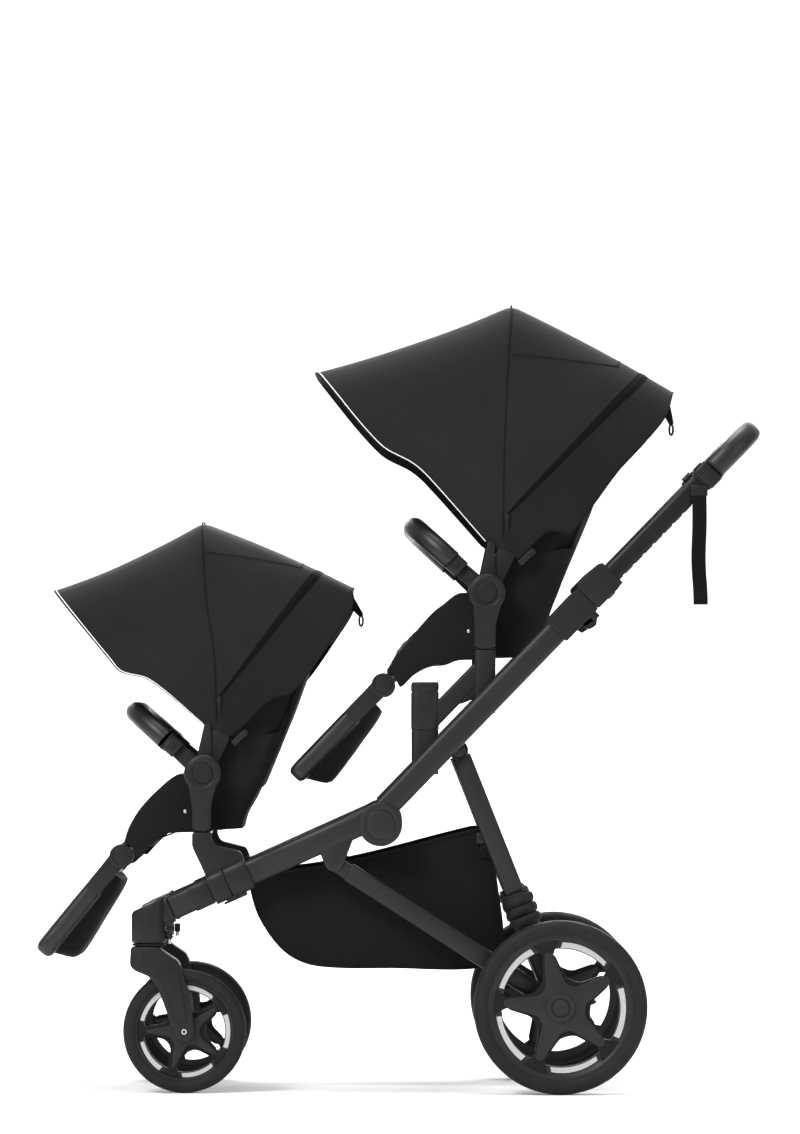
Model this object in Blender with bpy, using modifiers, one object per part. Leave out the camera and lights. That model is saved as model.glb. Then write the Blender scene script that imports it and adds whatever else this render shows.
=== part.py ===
"""Pram with a main seat, a sibling seat, a basket, two castors and two rear wheels.

Metres, +Z up. The front is towards -X, the handlebar towards +X, and the pusher's left side is -Y.
The origin is on the ground under the middle of the bounding box. Side-view places are (x, z) pairs.
"""
import bpy
import bmesh
from math import atan2, cos, pi, radians, sin, tan
from mathutils import Vector

# Gaps between pieces
GAP = 0.0003            # touching faces
RUN = 0.0006            # running clearance of a turning or sliding piece

# Rear wheels
REAR_AXLE = (0.2692, 0.1445)
REAR_R = 0.1445
REAR_WIDTH = 0.045
REAR_RIM_R = 0.1205
REAR_RING = 0.013
REAR_HUB_R = 0.030
REAR_Y = 0.275
REAR_SPOKE_DEG = 31.0
REAR_SPOKE = 0.026
REAR_HALF = 0.0165      # half width of the rim
REAR_FACE = 0.0185      # outward from the wheel's middle
REAR_FLOOR = 0.010
REAR_BACK = 0.0205
STUB_R = 0.0075
STUB_END = 0.001        # past the wheel's middle
RELEASE_R = 0.0142
PRESS = 0.003           # travel of every push button
STEM_R = 0.004          # the stem behind a push button

# Front wheels and castors
FRONT_AXLE = (-0.3559, 0.1027)
FRONT_R = 0.1027
FRONT_WIDTH = 0.038
FRONT_RIM_R = 0.0821
FRONT_RING = 0.011
FRONT_HUB_R = 0.017
FRONT_SPOKE_DEG = 36.0
FRONT_SPOKE = 0.018
FRONT_HALF = 0.0135
FRONT_HUB_HALF = 0.0195
CASTOR_X = -0.4156
CASTOR_Y = 0.213
HEAD_R = 0.0288
HEAD_BOTTOM = 0.2450
HEAD_TOP = 0.3127
FORK_TOP = 0.2435
FORK_CROWN = 0.0325     # height of the crown over the tyre
FORK_PLATE = 0.008
FORK_END_R = 0.0168
FRONT_AXLE_R = 0.005
CROSS_R = 0.0125
CROSS_Z = 0.285
LOCK = (0.010, 0.012, 0.022)
FORK_REAR = [(-0.4446, FORK_TOP), (-0.4464, 0.2094), (-0.4148, 0.1920), (-0.3990, 0.1740)]
FORK_FRONT = [(-0.3440, 0.1600), (-0.3610, 0.2071), (-0.3666, 0.2211), (-0.4013, FORK_TOP)]

# Facets
WHEEL_STEPS = 26        # not a multiple of four, so that a wheel rests on a flat
TUBE_SIDES = 12
BEND_STEPS = 4

# Side tubes
SIDE_Y = 0.235
TUBE_WIDTH = 0.026
LOWER_HEIGHT = 0.042
UPPER_HEIGHT = 0.040
HINGE = (-0.0296, 0.4474)
HINGE_R = 0.0366
HINGE_PIN_R = 0.009
LOWER_SLOPE = radians(24.2)
LOWER_PASS = (-0.0677, 0.4471)     # a point on the lower tube's centre line
LOWER_FRONT_X = -0.378
UPPER_SLOPE = radians(45.9)
UPPER_PASS = (0.1181, 0.6187)      # a point on the upper tube's centre line
SLEEVE_SPAN = (0.2082, 0.3417)     # along the upper tube from UPPER_PASS
SLEEVE_HEIGHT = 0.054
SLEEVE_WIDTH = 0.034
SLEEVE_LIFT = 0.003
CATCH_HALF = 0.010       # half width of the catch under the sleeve
CATCH_PIN_R = 0.002

# Handlebar
INNER_HEIGHT = 0.033
INNER_WIDTH = 0.020
INNER_START = 0.17
HANDLE_TRAVEL = 0.15
BLOCK_START = 0.5575               # along the upper tube from UPPER_PASS
BLOCK_LENGTH = 0.0292
BLOCK_HEIGHT = 0.0425
BLOCK_WIDTH = 0.030
GRIP_R = 0.0195
GRIP_ARM = 0.0834                  # from the block to the grip's cross line
GRIP_CORNER = 0.055
STRAP_WIDTH = 0.024
STRAP_THICK = 0.004
STRAP_LENGTH = 0.196
STRAP_DROP = (-0.0152, -0.0215)    # the strap's top end from the middle of the block

# Rear legs, bellows and struts
LEG_TOP = (0.1002, 0.5709)
LEG_Y = 0.207
LEG_HEIGHT = 0.033
LEG_WIDTH = 0.024
LEG_PIN_R = 0.006
BELLOWS_SPAN = (0.257, 0.316)      # along the leg from its top pin
BELLOWS_R = 0.0275
BELLOWS_NECK_R = 0.0215
BELLOWS_RIBS = 3
AXLE_TUBE_R = 0.011
HOUSING_HEIGHT = 0.040
STRUT_TOP = (-0.107, 0.3835)
STRUT_HEIGHT = 0.032
STRUT_WIDTH = 0.016
STRUT_PIN_R = 0.006
STRUT_SHORT = 0.030                # the open pivot: strut end to axle centre
BRACKET = 0.003

# Brake pedal
PEDAL_WIDTH = 0.110
PEDAL_PIN = (REAR_AXLE[0] + 0.0208, REAR_AXLE[1])
PEDAL_PIN_R = 0.004
PEDAL_OUTLINE = [
    (-0.0070, -0.0060), (0.0, -0.0080), (0.0400, -0.0045), (0.0460, 0.0005), (0.0440, 0.0045),
    (0.0100, 0.0055), (0.0, 0.0080), (-0.0070, 0.0060),
]

# Seat rails and clamps
MOUNT_Y = (0.1987, 0.2217)
SPARE_X = (0.0220, 0.0678)
SPARE_Z = (0.5300, 0.6844)
SEAT_POST_DEPTH = 0.036
RAIL_SPAN = (-0.060, 0.085)
RAIL_LIFT = 0.0464
RAIL_HEIGHT = 0.030
CLAMP_X = (-0.3118, -0.2481)
CLAMP_WALL = 0.006
CLIP_SIZE = (0.036, 0.020, 0.017)

# Basket, as a side view
BASKET_Y = 0.180
BASKET_WALL = 0.004
BASKET_OUTLINE = [
    (-0.250, 0.374), (-0.192, 0.367), (-0.071, 0.386), (0.124, 0.436), (0.147, 0.437),
    (0.165, 0.330), (0.175, 0.262), (0.160, 0.222), (0.126, 0.206), (-0.1345, 0.211),
    (-0.185, 0.232), (-0.228, 0.285),
]
BASKET_PIN_R = 0.005
BASKET_PIN_FRONT = (-0.236, 0.368)
BASKET_PIN_REAR = (0.146, 0.425)

# Parts of the seats that both share
SEAT_PIN_R = 0.006
HUB_R = 0.0314
BUTTON_R = 0.0170
BUTTON_DEPTH = 0.005
KNEE_PIN_R = 0.005
BASE_Y = 0.149
BACK_Y = 0.161
SIDE_BAR_Y = (0.1625, 0.1755)
BUMPER_Y = (0.1765, 0.1855)
REAR_HOOP_Y = (0.1865, 0.1902)
FRONT_HOOP_Y = (0.1912, 0.1950)
BOLSTER = 0.037
BASE_CROWN = 0.005      # rise of the seat cushion's middle
BASE_ROUND = 0.010      # drop of the bolster's top at its outer edge
PAD_CROWN = [(1.0, 0.66), (0.93, 0.90), (0.62, 0.97), (0.0, 1.0)]   # shares of half width and thickness
CANOPY_WALL = 0.003
CANOPY_SEAM = 0.0012
CANOPY_DIP = (0.008, -0.004)    # of the front and rear panels between their bows, inward
LEG_HINGE_R = 0.020

# The two seats: side-view places are measured from the seat's hub
MAIN = {
    "name": "main",
    "hub": (0.1479, 0.8336),
    "arm_foot": (0.1446, 0.7384),
    "arm_depth": 0.036,
    "bolster_top": [(-0.158, -0.103), (-0.127, -0.068), (-0.046, -0.001), (-0.005, 0.004), (0.0525, -0.025)],
    "base_under": [(0.045, -0.0415), (0.036, -0.049), (0.040, -0.0975), (-0.046, -0.1015),
                   (-0.121, -0.1145), (-0.152, -0.1165)],
    "cushion_top": [(-0.158, -0.098), (-0.110, -0.074), (0.0, -0.0600), (0.022, -0.0480),
                    (0.037, -0.0340), (0.0525, -0.0260)],
    "back_foot": (0.080, -0.035),
    "back_top": (0.222, 0.318),
    "back_thick": 0.042,
    "leg_hinge": (-0.173, -0.154),
    "leg_deg": 226.4,
    "leg_length": 0.2175,
    "leg_thick": 0.026,
    "bumper_reach": 0.182,
    "bumper_deg": 137.4,
    "bumper_r": 0.0175,
    "canopy_front": [(0.004, 0.079), (-0.097, 0.192), (-0.124, 0.216), (-0.180, 0.248), (-0.2845, 0.3704)],
    "canopy_ridge": [(0.0262, 0.100), (0.029, 0.220), (0.0335, 0.330), (0.038, 0.420), (0.0429, 0.4832)],
    "canopy_rear": [(0.070, 0.075), (0.168, 0.198), (0.222, 0.206), (0.2975, 0.2917), (0.3141, 0.3383)],
    "canopy_tail": (0.3166, 0.2686),
}
SIBLING = {
    "name": "sibling",
    "hub": (-0.3262, 0.5321),
    "arm_foot": (-0.3278, 0.4345),
    "arm_depth": 0.032,
    "bolster_top": [(-0.130, -0.096), (-0.108, -0.058), (-0.042, -0.003), (-0.005, 0.002), (0.0480, -0.0240)],
    "base_under": [(0.041, -0.0375), (0.033, -0.0445), (0.036, -0.0900), (-0.040, -0.0925),
                   (-0.100, -0.0985), (-0.122, -0.1055)],
    "cushion_top": [(-0.130, -0.090), (-0.095, -0.066), (-0.002, -0.0550), (0.019, -0.0440),
                    (0.033, -0.0310), (0.0480, -0.0250)],
    "back_foot": (0.072, -0.034),
    "back_top": (0.188, 0.262),
    "back_thick": 0.038,
    "leg_hinge": (-0.137, -0.1387),
    "leg_deg": 230.9,
    "leg_length": 0.214,
    "leg_thick": 0.026,
    "bumper_reach": 0.171,
    "bumper_deg": 138.1,
    "bumper_r": 0.0170,
    "canopy_front": [(0.005, 0.078), (-0.090, 0.156), (-0.138, 0.170), (-0.157, 0.191), (-0.2508, 0.3045)],
    "canopy_ridge": [(0.0225, 0.100), (0.018, 0.200), (0.005, 0.290), (0.000, 0.370), (-0.0032, 0.4177)],
    "canopy_rear": [(0.055, 0.068), (0.114, 0.124), (0.170, 0.182), (0.2262, 0.2392), (0.2477, 0.3087)],
    "canopy_tail": (0.2637, 0.2455),
}

for leftover in list(bpy.data.objects):
    bpy.data.objects.remove(leftover)

PART = bpy.data.collections.new("pram")
TOOLS = bpy.data.collections.new("cutters")
for folder in (PART, TOOLS):
    bpy.context.scene.collection.children.link(folder)


# Materials
def material(name, colour, roughness, metallic=0.0):
    made = bpy.data.materials.new(name)
    made.use_nodes = True
    shader = made.node_tree.nodes["Principled BSDF"]
    shader.inputs["Base Color"].default_value = (*colour, 1.0)
    shader.inputs["Roughness"].default_value = roughness
    shader.inputs["Metallic"].default_value = metallic
    return made


FRAME = material("frame_black", (0.030, 0.030, 0.033), 0.42, 0.6)
PLASTIC = material("moulded_black", (0.020, 0.020, 0.022), 0.55)
RUBBER = material("rubber", (0.022, 0.022, 0.023), 0.80)
FABRIC = material("black_fabric", (0.012, 0.012, 0.014), 0.95)
LEATHER = material("grip_leatherette", (0.025, 0.024, 0.024), 0.60)
STEEL = material("bright_steel", (0.60, 0.60, 0.60), 0.30, 1.0)


# Frame of reference along a sloping tube
def along(origin, slope, forward, lift=0.0):
    """The (x, z) that lies forward along the slope and lift square to it."""
    x = origin[0] + forward * cos(slope) - lift * sin(slope)
    z = origin[1] + forward * sin(slope) + lift * cos(slope)
    return (x, z)


def spot(pair, y):
    return (pair[0], y, pair[1])


def circle(centre, radius, count, start=0.0, sweep=2 * pi, closed=True):
    steps = count if closed else count - 1
    angles = [start + sweep * i / steps for i in range(count)]
    return [(centre[0] + radius * cos(a), centre[1] + radius * sin(a)) for a in angles]


# Objects
def place(obj, mat=None):
    """Puts an object in the part, or among the cutters when it has no material."""
    for folder in obj.users_collection:
        folder.objects.unlink(obj)
    (PART if mat else TOOLS).objects.link(obj)
    if mat:
        obj.data.materials.append(mat)
    else:
        obj.hide_render = True
        obj.display_type = "WIRE"
    return obj


def solid_from_curve(obj):
    """The curve's evaluated mesh with its caps welded, in world coordinates."""
    bpy.context.scene.collection.objects.link(obj)
    bpy.context.view_layer.update()
    shape = obj.evaluated_get(bpy.context.evaluated_depsgraph_get())
    mesh = bpy.data.meshes.new_from_object(shape)
    bm = bmesh.new()
    bm.from_mesh(mesh)
    bmesh.ops.remove_doubles(bm, verts=bm.verts, dist=0.00001)
    bmesh.ops.recalc_face_normals(bm, faces=bm.faces)
    bm.to_mesh(mesh)
    bm.free()
    mesh.materials.clear()
    name = obj.name
    seat_at = obj.matrix_world.copy()
    bpy.data.objects.remove(obj)
    solid = bpy.data.objects.new(name, mesh)
    solid.matrix_world = seat_at
    return solid


def poly_curve(name, points, cyclic=False):
    curve = bpy.data.curves.new(name, "CURVE")
    curve.dimensions = "3D"
    line = curve.splines.new("POLY")
    line.points.add(len(points) - 1)
    for node, point in zip(line.points, points):
        node.co = (*point, 1.0)
    line.use_cyclic_u = cyclic
    return curve


def oval_bar(name, points, height, width, mat=None, sides=TUBE_SIDES):
    """An oval tube along the points, height in the side view and width across."""
    outline = [(0.5 * width * cos(a), -0.5 * height * sin(a), 0.0)
               for a in (2 * pi * i / sides for i in range(sides))]
    profile = poly_curve(name + "_profile", outline, cyclic=True)
    profile.dimensions = "2D"
    section = bpy.data.objects.new(name + "_profile", profile)
    bpy.context.scene.collection.objects.link(section)
    curve = poly_curve(name, points)
    curve.twist_mode = "Z_UP"
    curve.bevel_mode = "OBJECT"
    curve.bevel_object = section
    curve.use_fill_caps = True
    bar = solid_from_curve(bpy.data.objects.new(name, curve))
    bpy.data.objects.remove(section)
    return place(bar, mat)


def rod(name, points, radius, mat=None, resolution=2):
    curve = poly_curve(name, points)
    curve.bevel_depth = radius
    curve.bevel_resolution = resolution
    curve.use_fill_caps = True
    return place(solid_from_curve(bpy.data.objects.new(name, curve)), mat)


def plate(name, outline, y_near, y_far, mat=None):
    """A flat side-view outline, extruded across from y_near to y_far."""
    curve = poly_curve(name, [(x, z, 0.0) for x, z in outline], cyclic=True)
    curve.dimensions = "2D"
    curve.fill_mode = "BOTH"
    curve.extrude = 0.5 * abs(y_far - y_near)
    obj = bpy.data.objects.new(name, curve)
    obj.location = (0.0, 0.5 * (y_near + y_far), 0.0)
    obj.rotation_euler = (radians(90), 0.0, 0.0)
    return place(solid_from_curve(obj), mat)


def loft(name, rings, mat=None):
    """A closed body through rings that have the same number of points."""
    bm = bmesh.new()
    rows = [[bm.verts.new(point) for point in ring] for ring in rings]
    for before, after in zip(rows, rows[1:]):
        for k in range(len(before)):
            n = (k + 1) % len(before)
            bm.faces.new((before[k], before[n], after[n], after[k]))
    bm.faces.new(rows[0])
    bm.faces.new(rows[-1])
    bmesh.ops.recalc_face_normals(bm, faces=bm.faces)
    mesh = bpy.data.meshes.new(name)
    bm.to_mesh(mesh)
    bm.free()
    return place(bpy.data.objects.new(name, mesh), mat)


def pad(name, origin, slope, outline, half_width, mat=None):
    """A cushion crowned in the middle and drawn in at its sides. The outline is (along, thickness) pairs."""
    stations = [(-y, share) for y, share in PAD_CROWN] + PAD_CROWN[-2::-1]
    rings = [[spot(along(origin, slope, f, h * share), y * half_width) for f, h in outline]
             for y, share in stations]
    return loft(name, rings, mat)


def facets(radius):
    """Sides enough for a cylinder of this radius."""
    if radius < 0.0125:
        return 10
    return 16 if radius < 0.025 else 20


def disc(name, centre, radius, y_near, y_far, mat=None):
    bpy.ops.mesh.primitive_cylinder_add(
        vertices=facets(radius), radius=radius, depth=abs(y_far - y_near),
        location=(centre[0], 0.5 * (y_near + y_far), centre[1]), rotation=(radians(90), 0, 0))
    obj = bpy.context.object
    obj.name = name
    return place(obj, mat)


def post(name, centre, radius, z_low, z_high, mat=None):
    bpy.ops.mesh.primitive_cylinder_add(
        vertices=facets(radius), radius=radius, depth=z_high - z_low,
        location=(centre[0], centre[1], 0.5 * (z_low + z_high)))
    obj = bpy.context.object
    obj.name = name
    return place(obj, mat)


def block(name, low, high, mat=None, turn=0.0):
    """A box between two corners, turned about its own middle in the side view."""
    size = [b - a for a, b in zip(low, high)]
    bpy.ops.mesh.primitive_cube_add(size=1.0, location=[0.5 * (a + b) for a, b in zip(low, high)])
    obj = bpy.context.object
    obj.name = name
    for corner in obj.data.vertices:
        corner.co = [c * s for c, s in zip(corner.co, size)]
    obj.rotation_euler = (0.0, -turn, 0.0)
    return place(obj, mat)


def combine(obj, others, operation):
    for other in others:
        step = obj.modifiers.new(operation.lower() + "_" + other.name, "BOOLEAN")
        step.operation = operation
        step.solver = "EXACT"
        step.object = other
    return obj


def join(obj, *others):
    return combine(obj, others, "UNION")


def cut(obj, *others):
    return combine(obj, others, "DIFFERENCE")


def soften(obj, width, segments=2, angle=35):
    step = obj.modifiers.new("edges", "BEVEL")
    step.width = width
    step.segments = segments
    step.limit_method = "ANGLE"
    step.angle_limit = radians(angle)
    return obj


def turned(name, profile, centre, y, side, mat=None, closed=False, steps=WHEEL_STEPS):
    """A profile of (radius, outward offset) spun about an axle across the pram, its flats at that radius."""
    mesh = bpy.data.meshes.new(name)
    bm = bmesh.new()
    ring = [bm.verts.new((r / cos(pi / steps), 0.0, out)) for r, out in profile]
    for a, b in zip(ring, ring[1:]):
        bm.edges.new((a, b))
    if closed:
        bm.edges.new((ring[-1], ring[0]))
    bm.to_mesh(mesh)
    bm.free()
    obj = bpy.data.objects.new(name, mesh)
    obj.location = (centre[0], y * side, centre[1])
    obj.rotation_euler = (radians(-90) * side, 0.0, 0.0)
    spin = obj.modifiers.new("spin", "SCREW")
    spin.axis = "Z"
    spin.steps = steps
    spin.render_steps = steps
    spin.use_merge_vertices = True
    spin.merge_threshold = 0.00001
    spin.use_smooth_shade = True
    return place(obj, mat)


SIDES = (("l", -1), ("r", 1))


# Wheels
def tyre(name, axle, radius, inner, width, y, side):
    half = 0.5 * width
    crown = 0.45 * (radius - inner)
    outer = [(inner, 0.72 * half), (inner + 0.5 * crown, half), (radius - 0.8 * crown, 0.96 * half),
             (radius, 0.34 * half)]
    profile = outer + [(r, -out) for r, out in reversed(outer)]
    turned(name, profile, axle, y, side, RUBBER, closed=True)


def spoke_windows(name, axle, spoke_deg, spoke, hub_r, ring_r, y_low, y_high, side):
    """Five cutters, one between each two spokes, as one object."""
    bm = bmesh.new()
    near, far = sorted((y_low * side, y_high * side))
    for k in range(5):
        middle = radians(spoke_deg + 36 + 72 * k)
        edge = pi / 5 - spoke / (2 * ring_r)
        root = pi / 5 - spoke / (2 * (hub_r + 0.018))
        outline = circle(axle, ring_r, 5, middle - edge, 2 * edge, closed=False)
        outline += circle(axle, hub_r + 0.018, 3, middle + root, -2 * root, closed=False)
        face = bm.faces.new([bm.verts.new((x, near, z)) for x, z in outline])
        grown = bmesh.ops.extrude_face_region(bm, geom=[face])
        top = [v for v in grown["geom"] if isinstance(v, bmesh.types.BMVert)]
        bmesh.ops.translate(bm, verts=top, vec=(0.0, far - near, 0.0))
    bmesh.ops.recalc_face_normals(bm, faces=bm.faces)
    mesh = bpy.data.meshes.new(name)
    bm.to_mesh(mesh)
    bm.free()
    return place(bpy.data.objects.new(name, mesh))


def rear_wheel(tag, side):
    tyre("rear_tyre_" + tag, REAR_AXLE, REAR_R, REAR_RIM_R + GAP, REAR_WIDTH, REAR_Y, side)
    ring = REAR_RIM_R - REAR_RING
    lip = ring + 0.25 * REAR_RING
    well = REAR_FLOOR - PRESS - 0.001
    profile = [
        (0.0, well), (STEM_R + RUN, well), (STEM_R + RUN, REAR_FLOOR), (RELEASE_R + RUN, REAR_FLOOR),
        (RELEASE_R + RUN, REAR_FACE), (0.8 * REAR_HUB_R, REAR_FACE), (REAR_HUB_R, 0.8 * REAR_FACE),
        (ring, 0.65 * REAR_FACE), (lip, REAR_HALF), (REAR_RIM_R, REAR_HALF), (REAR_RIM_R, -REAR_HALF),
        (lip, -REAR_HALF), (ring, 0.0), (REAR_HUB_R, -0.2 * REAR_BACK), (0.6 * REAR_HUB_R, -REAR_BACK),
        (STUB_R + RUN, -REAR_BACK), (STUB_R + RUN, STUB_END + RUN), (0.0, STUB_END + RUN),
    ]
    rim = turned("rear_rim_" + tag, profile, REAR_AXLE, REAR_Y, side, PLASTIC)
    cut(rim, spoke_windows("rear_windows_" + tag, REAR_AXLE, REAR_SPOKE_DEG, REAR_SPOKE, REAR_HUB_R,
                           ring - 0.003, REAR_Y - 0.03, REAR_Y + 0.03, side))
    back = REAR_Y + REAR_FLOOR + PRESS + RUN
    front = REAR_Y + REAR_FACE + 0.002
    button = disc("rear_release_" + tag, REAR_AXLE, RELEASE_R, back * side, front * side, STEEL)
    join(button, disc("release_stem_" + tag, REAR_AXLE, STEM_R, (REAR_Y + REAR_FLOOR - RUN) * side,
                      (back + 0.001) * side))


def front_wheel(tag, side):
    tyre("front_tyre_" + tag, FRONT_AXLE, FRONT_R, FRONT_RIM_R + GAP, FRONT_WIDTH, CASTOR_Y, side)
    ring = FRONT_RIM_R - FRONT_RING
    bore = FRONT_AXLE_R + RUN
    lip = ring + 0.27 * FRONT_RING
    half = [(bore, FRONT_HUB_HALF), (FRONT_HUB_R, FRONT_HUB_HALF), (FRONT_HUB_R, 0.5 * FRONT_HALF),
            (ring, 0.5 * FRONT_HALF), (lip, FRONT_HALF), (FRONT_RIM_R, FRONT_HALF)]
    profile = half + [(r, -out) for r, out in reversed(half)]
    rim = turned("front_rim_" + tag, profile, FRONT_AXLE, CASTOR_Y, side, PLASTIC, closed=True)
    cut(rim, spoke_windows("front_windows_" + tag, FRONT_AXLE, FRONT_SPOKE_DEG, FRONT_SPOKE, FRONT_HUB_R,
                           ring - 0.002, CASTOR_Y - 0.03, CASTOR_Y + 0.03, side))


# Castors
def castor(tag, side):
    y = CASTOR_Y * side
    inside = 0.5 * FRONT_WIDTH + 0.003
    crown_low = FORK_TOP - FORK_CROWN
    leg = FORK_REAR + circle(FRONT_AXLE, FORK_END_R, 9, pi, pi, closed=False) + FORK_FRONT
    crown = [FORK_REAR[0], (FORK_REAR[1][0], crown_low), (FORK_FRONT[1][0], crown_low)] + FORK_FRONT[2:]
    fork = plate("castor_fork_" + tag, crown, y - inside - FORK_PLATE, y + inside + FORK_PLATE, PLASTIC)
    legs = [plate("fork_leg_%s_%d" % (tag, way), leg, y + way * inside, y + way * (inside + FORK_PLATE))
            for way in (-1, 1)]
    axle = disc("fork_axle_" + tag, FRONT_AXLE, FRONT_AXLE_R, y - inside - 0.006, y + inside + 0.006)
    stem = post("fork_stem_" + tag, (CASTOR_X, y), 0.008, FORK_TOP - 0.01, HEAD_TOP - 0.012)
    join(fork, *legs, axle, stem)
    head = post("castor_head_" + tag, (CASTOR_X, y), HEAD_R, HEAD_BOTTOM, HEAD_TOP, PLASTIC)
    front = lower_centre(LOWER_FRONT_X - GAP)
    inner = lower_centre(CASTOR_X)
    neck = oval_bar("head_neck_" + tag, [spot(front, y), spot(inner, y)], LOWER_HEIGHT + 0.004,
                    TUBE_WIDTH + 0.004)
    bore = post("head_bore_" + tag, (CASTOR_X, y), 0.008 + RUN, HEAD_BOTTOM - 0.01, HEAD_TOP - 0.012 + RUN)
    cut(join(head, neck), bore)
    lock_x = CASTOR_X + HEAD_R + GAP
    block("swivel_lock_" + tag, (lock_x, y - 0.5 * LOCK[1], HEAD_BOTTOM + 0.003),
          (lock_x + LOCK[0], y + 0.5 * LOCK[1], HEAD_BOTTOM + 0.003 + LOCK[2]), STEEL)


# Lower half of the chassis
def lower_centre(x):
    run = (x - LOWER_PASS[0]) / cos(LOWER_SLOPE)
    return along(LOWER_PASS, LOWER_SLOPE, run)


def hinge_halves(side):
    """The y ranges of the hinge's outer and inner discs."""
    outer = (SIDE_Y + 0.0015, SIDE_Y + 0.5 * TUBE_WIDTH)
    inner = (SIDE_Y - 0.5 * TUBE_WIDTH, SIDE_Y + 0.0015 - RUN)
    return [tuple(side * y for y in half) for half in (outer, inner)]


def lower_tube(tag, side):
    y = SIDE_Y * side
    y_front = CASTOR_Y * side
    stops = [(-0.040, y), (-0.100, y), (-0.238, y_front), (-0.244, y_front), (LOWER_FRONT_X, y_front)]
    tube = oval_bar("lower_tube_" + tag, [spot(lower_centre(x), at) for x, at in stops], LOWER_HEIGHT,
                    TUBE_WIDTH, FRAME)
    outer, inner = hinge_halves(side)
    swing = disc("lower_swing_" + tag, HINGE, HINGE_R + RUN, side * (SIDE_Y - 0.03), outer[0])
    cheek = disc("lower_disc_" + tag, HINGE, HINGE_R, outer[0], outer[1] + 0.001 * side)
    pin_bore = disc("lower_bore_" + tag, HINGE, HINGE_PIN_R + RUN, side * (SIDE_Y - 0.03),
                    outer[1] - 0.003 * side)
    cut(tube, swing)
    join(tube, cheek)
    half = 0.5 * STRUT_WIDTH + RUN
    bracket = circle(STRUT_TOP, 0.015, 9, pi, pi, closed=False)
    bracket += [lower_centre(STRUT_TOP[0] + 0.024), lower_centre(STRUT_TOP[0] - 0.024)]
    cheeks = [plate("bracket_%s_%d" % (tag, way), bracket, y + way * half, y + way * (half + BRACKET))
              for way in (-1, 1)]
    pin = disc("strut_pin_" + tag, STRUT_TOP, STRUT_PIN_R, y - half - 0.002, y + half + 0.002)
    join(tube, *cheeks, pin)
    cut(tube, pin_bore)


def strut(tag, side):
    y = SIDE_Y * side
    slope = atan2(REAR_AXLE[1] - STRUT_TOP[1], REAR_AXLE[0] - STRUT_TOP[0])
    reach = (Vector(REAR_AXLE) - Vector(STRUT_TOP)).length
    start = along(STRUT_TOP, slope, 0.030)
    end = along(STRUT_TOP, slope, reach - STRUT_SHORT)
    bar = oval_bar("strut_" + tag, [spot(start, y), spot(end, y)], STRUT_HEIGHT, STRUT_WIDTH + 0.004, FRAME)
    taper = [along(STRUT_TOP, slope, f, h) for f, h in
             ((-0.003, -0.0105), (0.041, -0.0125), (0.041, 0.0125), (-0.003, 0.0105))]
    neck = plate("strut_neck_" + tag, taper, y - 0.5 * STRUT_WIDTH + GAP, y + 0.5 * STRUT_WIDTH - GAP)
    eye = disc("strut_eye_" + tag, STRUT_TOP, 0.0125, y - 0.5 * STRUT_WIDTH, y + 0.5 * STRUT_WIDTH)
    join(bar, neck, eye)
    cut(bar, disc("strut_bore_" + tag, STRUT_TOP, STRUT_PIN_R + RUN, y - 0.02, y + 0.02))


def seat_clamp(tag, side):
    """Grips the lower tube and carries the bent post that the sibling seat stands on."""
    y = CASTOR_Y * side
    near, far = sorted(side * v for v in MOUNT_Y)
    ends = [spot(lower_centre(x), y) for x in CLAMP_X]
    grow = 2 * CLAMP_WALL
    body = oval_bar("seat_clamp_" + tag, ends, LOWER_HEIGHT + grow, TUBE_WIDTH + grow, PLASTIC)
    foot_x, foot_z = SIBLING["arm_foot"]
    half = 0.5 * SIBLING["arm_depth"]
    top = foot_z - GAP
    saddle = [lower_centre(x) for x in CLAMP_X]
    bent = [(foot_x - half, top), (foot_x - half, top - 0.022), (foot_x - 0.012, top - 0.05), saddle[0],
            saddle[1], (saddle[1][0] - 0.018, saddle[1][1] + 0.034), (foot_x + half, top - 0.016),
            (foot_x + half, top)]
    stem = plate("clamp_stem_" + tag, bent, near, far)
    middle = along(lower_centre(0.5 * sum(CLAMP_X)), LOWER_SLOPE, 0.0, -0.5 * LOWER_HEIGHT - 0.0025)
    size = [0.5 * v for v in CLIP_SIZE]
    clip = block("clamp_clip_" + tag, (middle[0] - size[0], y - size[1], middle[1] - size[2]),
                 (middle[0] + size[0], y + size[1], middle[1] + size[2]), turn=LOWER_SLOPE)
    longer = [spot(lower_centre(x), y) for x in (CLAMP_X[0] - 0.02, CLAMP_X[1] + 0.02)]
    hollow = oval_bar("clamp_bore_" + tag, longer, LOWER_HEIGHT + 2 * GAP, TUBE_WIDTH + 2 * GAP)
    cut(join(body, stem, clip), hollow)


# Upper half of the chassis
def upper(forward, lift=0.0):
    return along(UPPER_PASS, UPPER_SLOPE, forward, lift)


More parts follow.
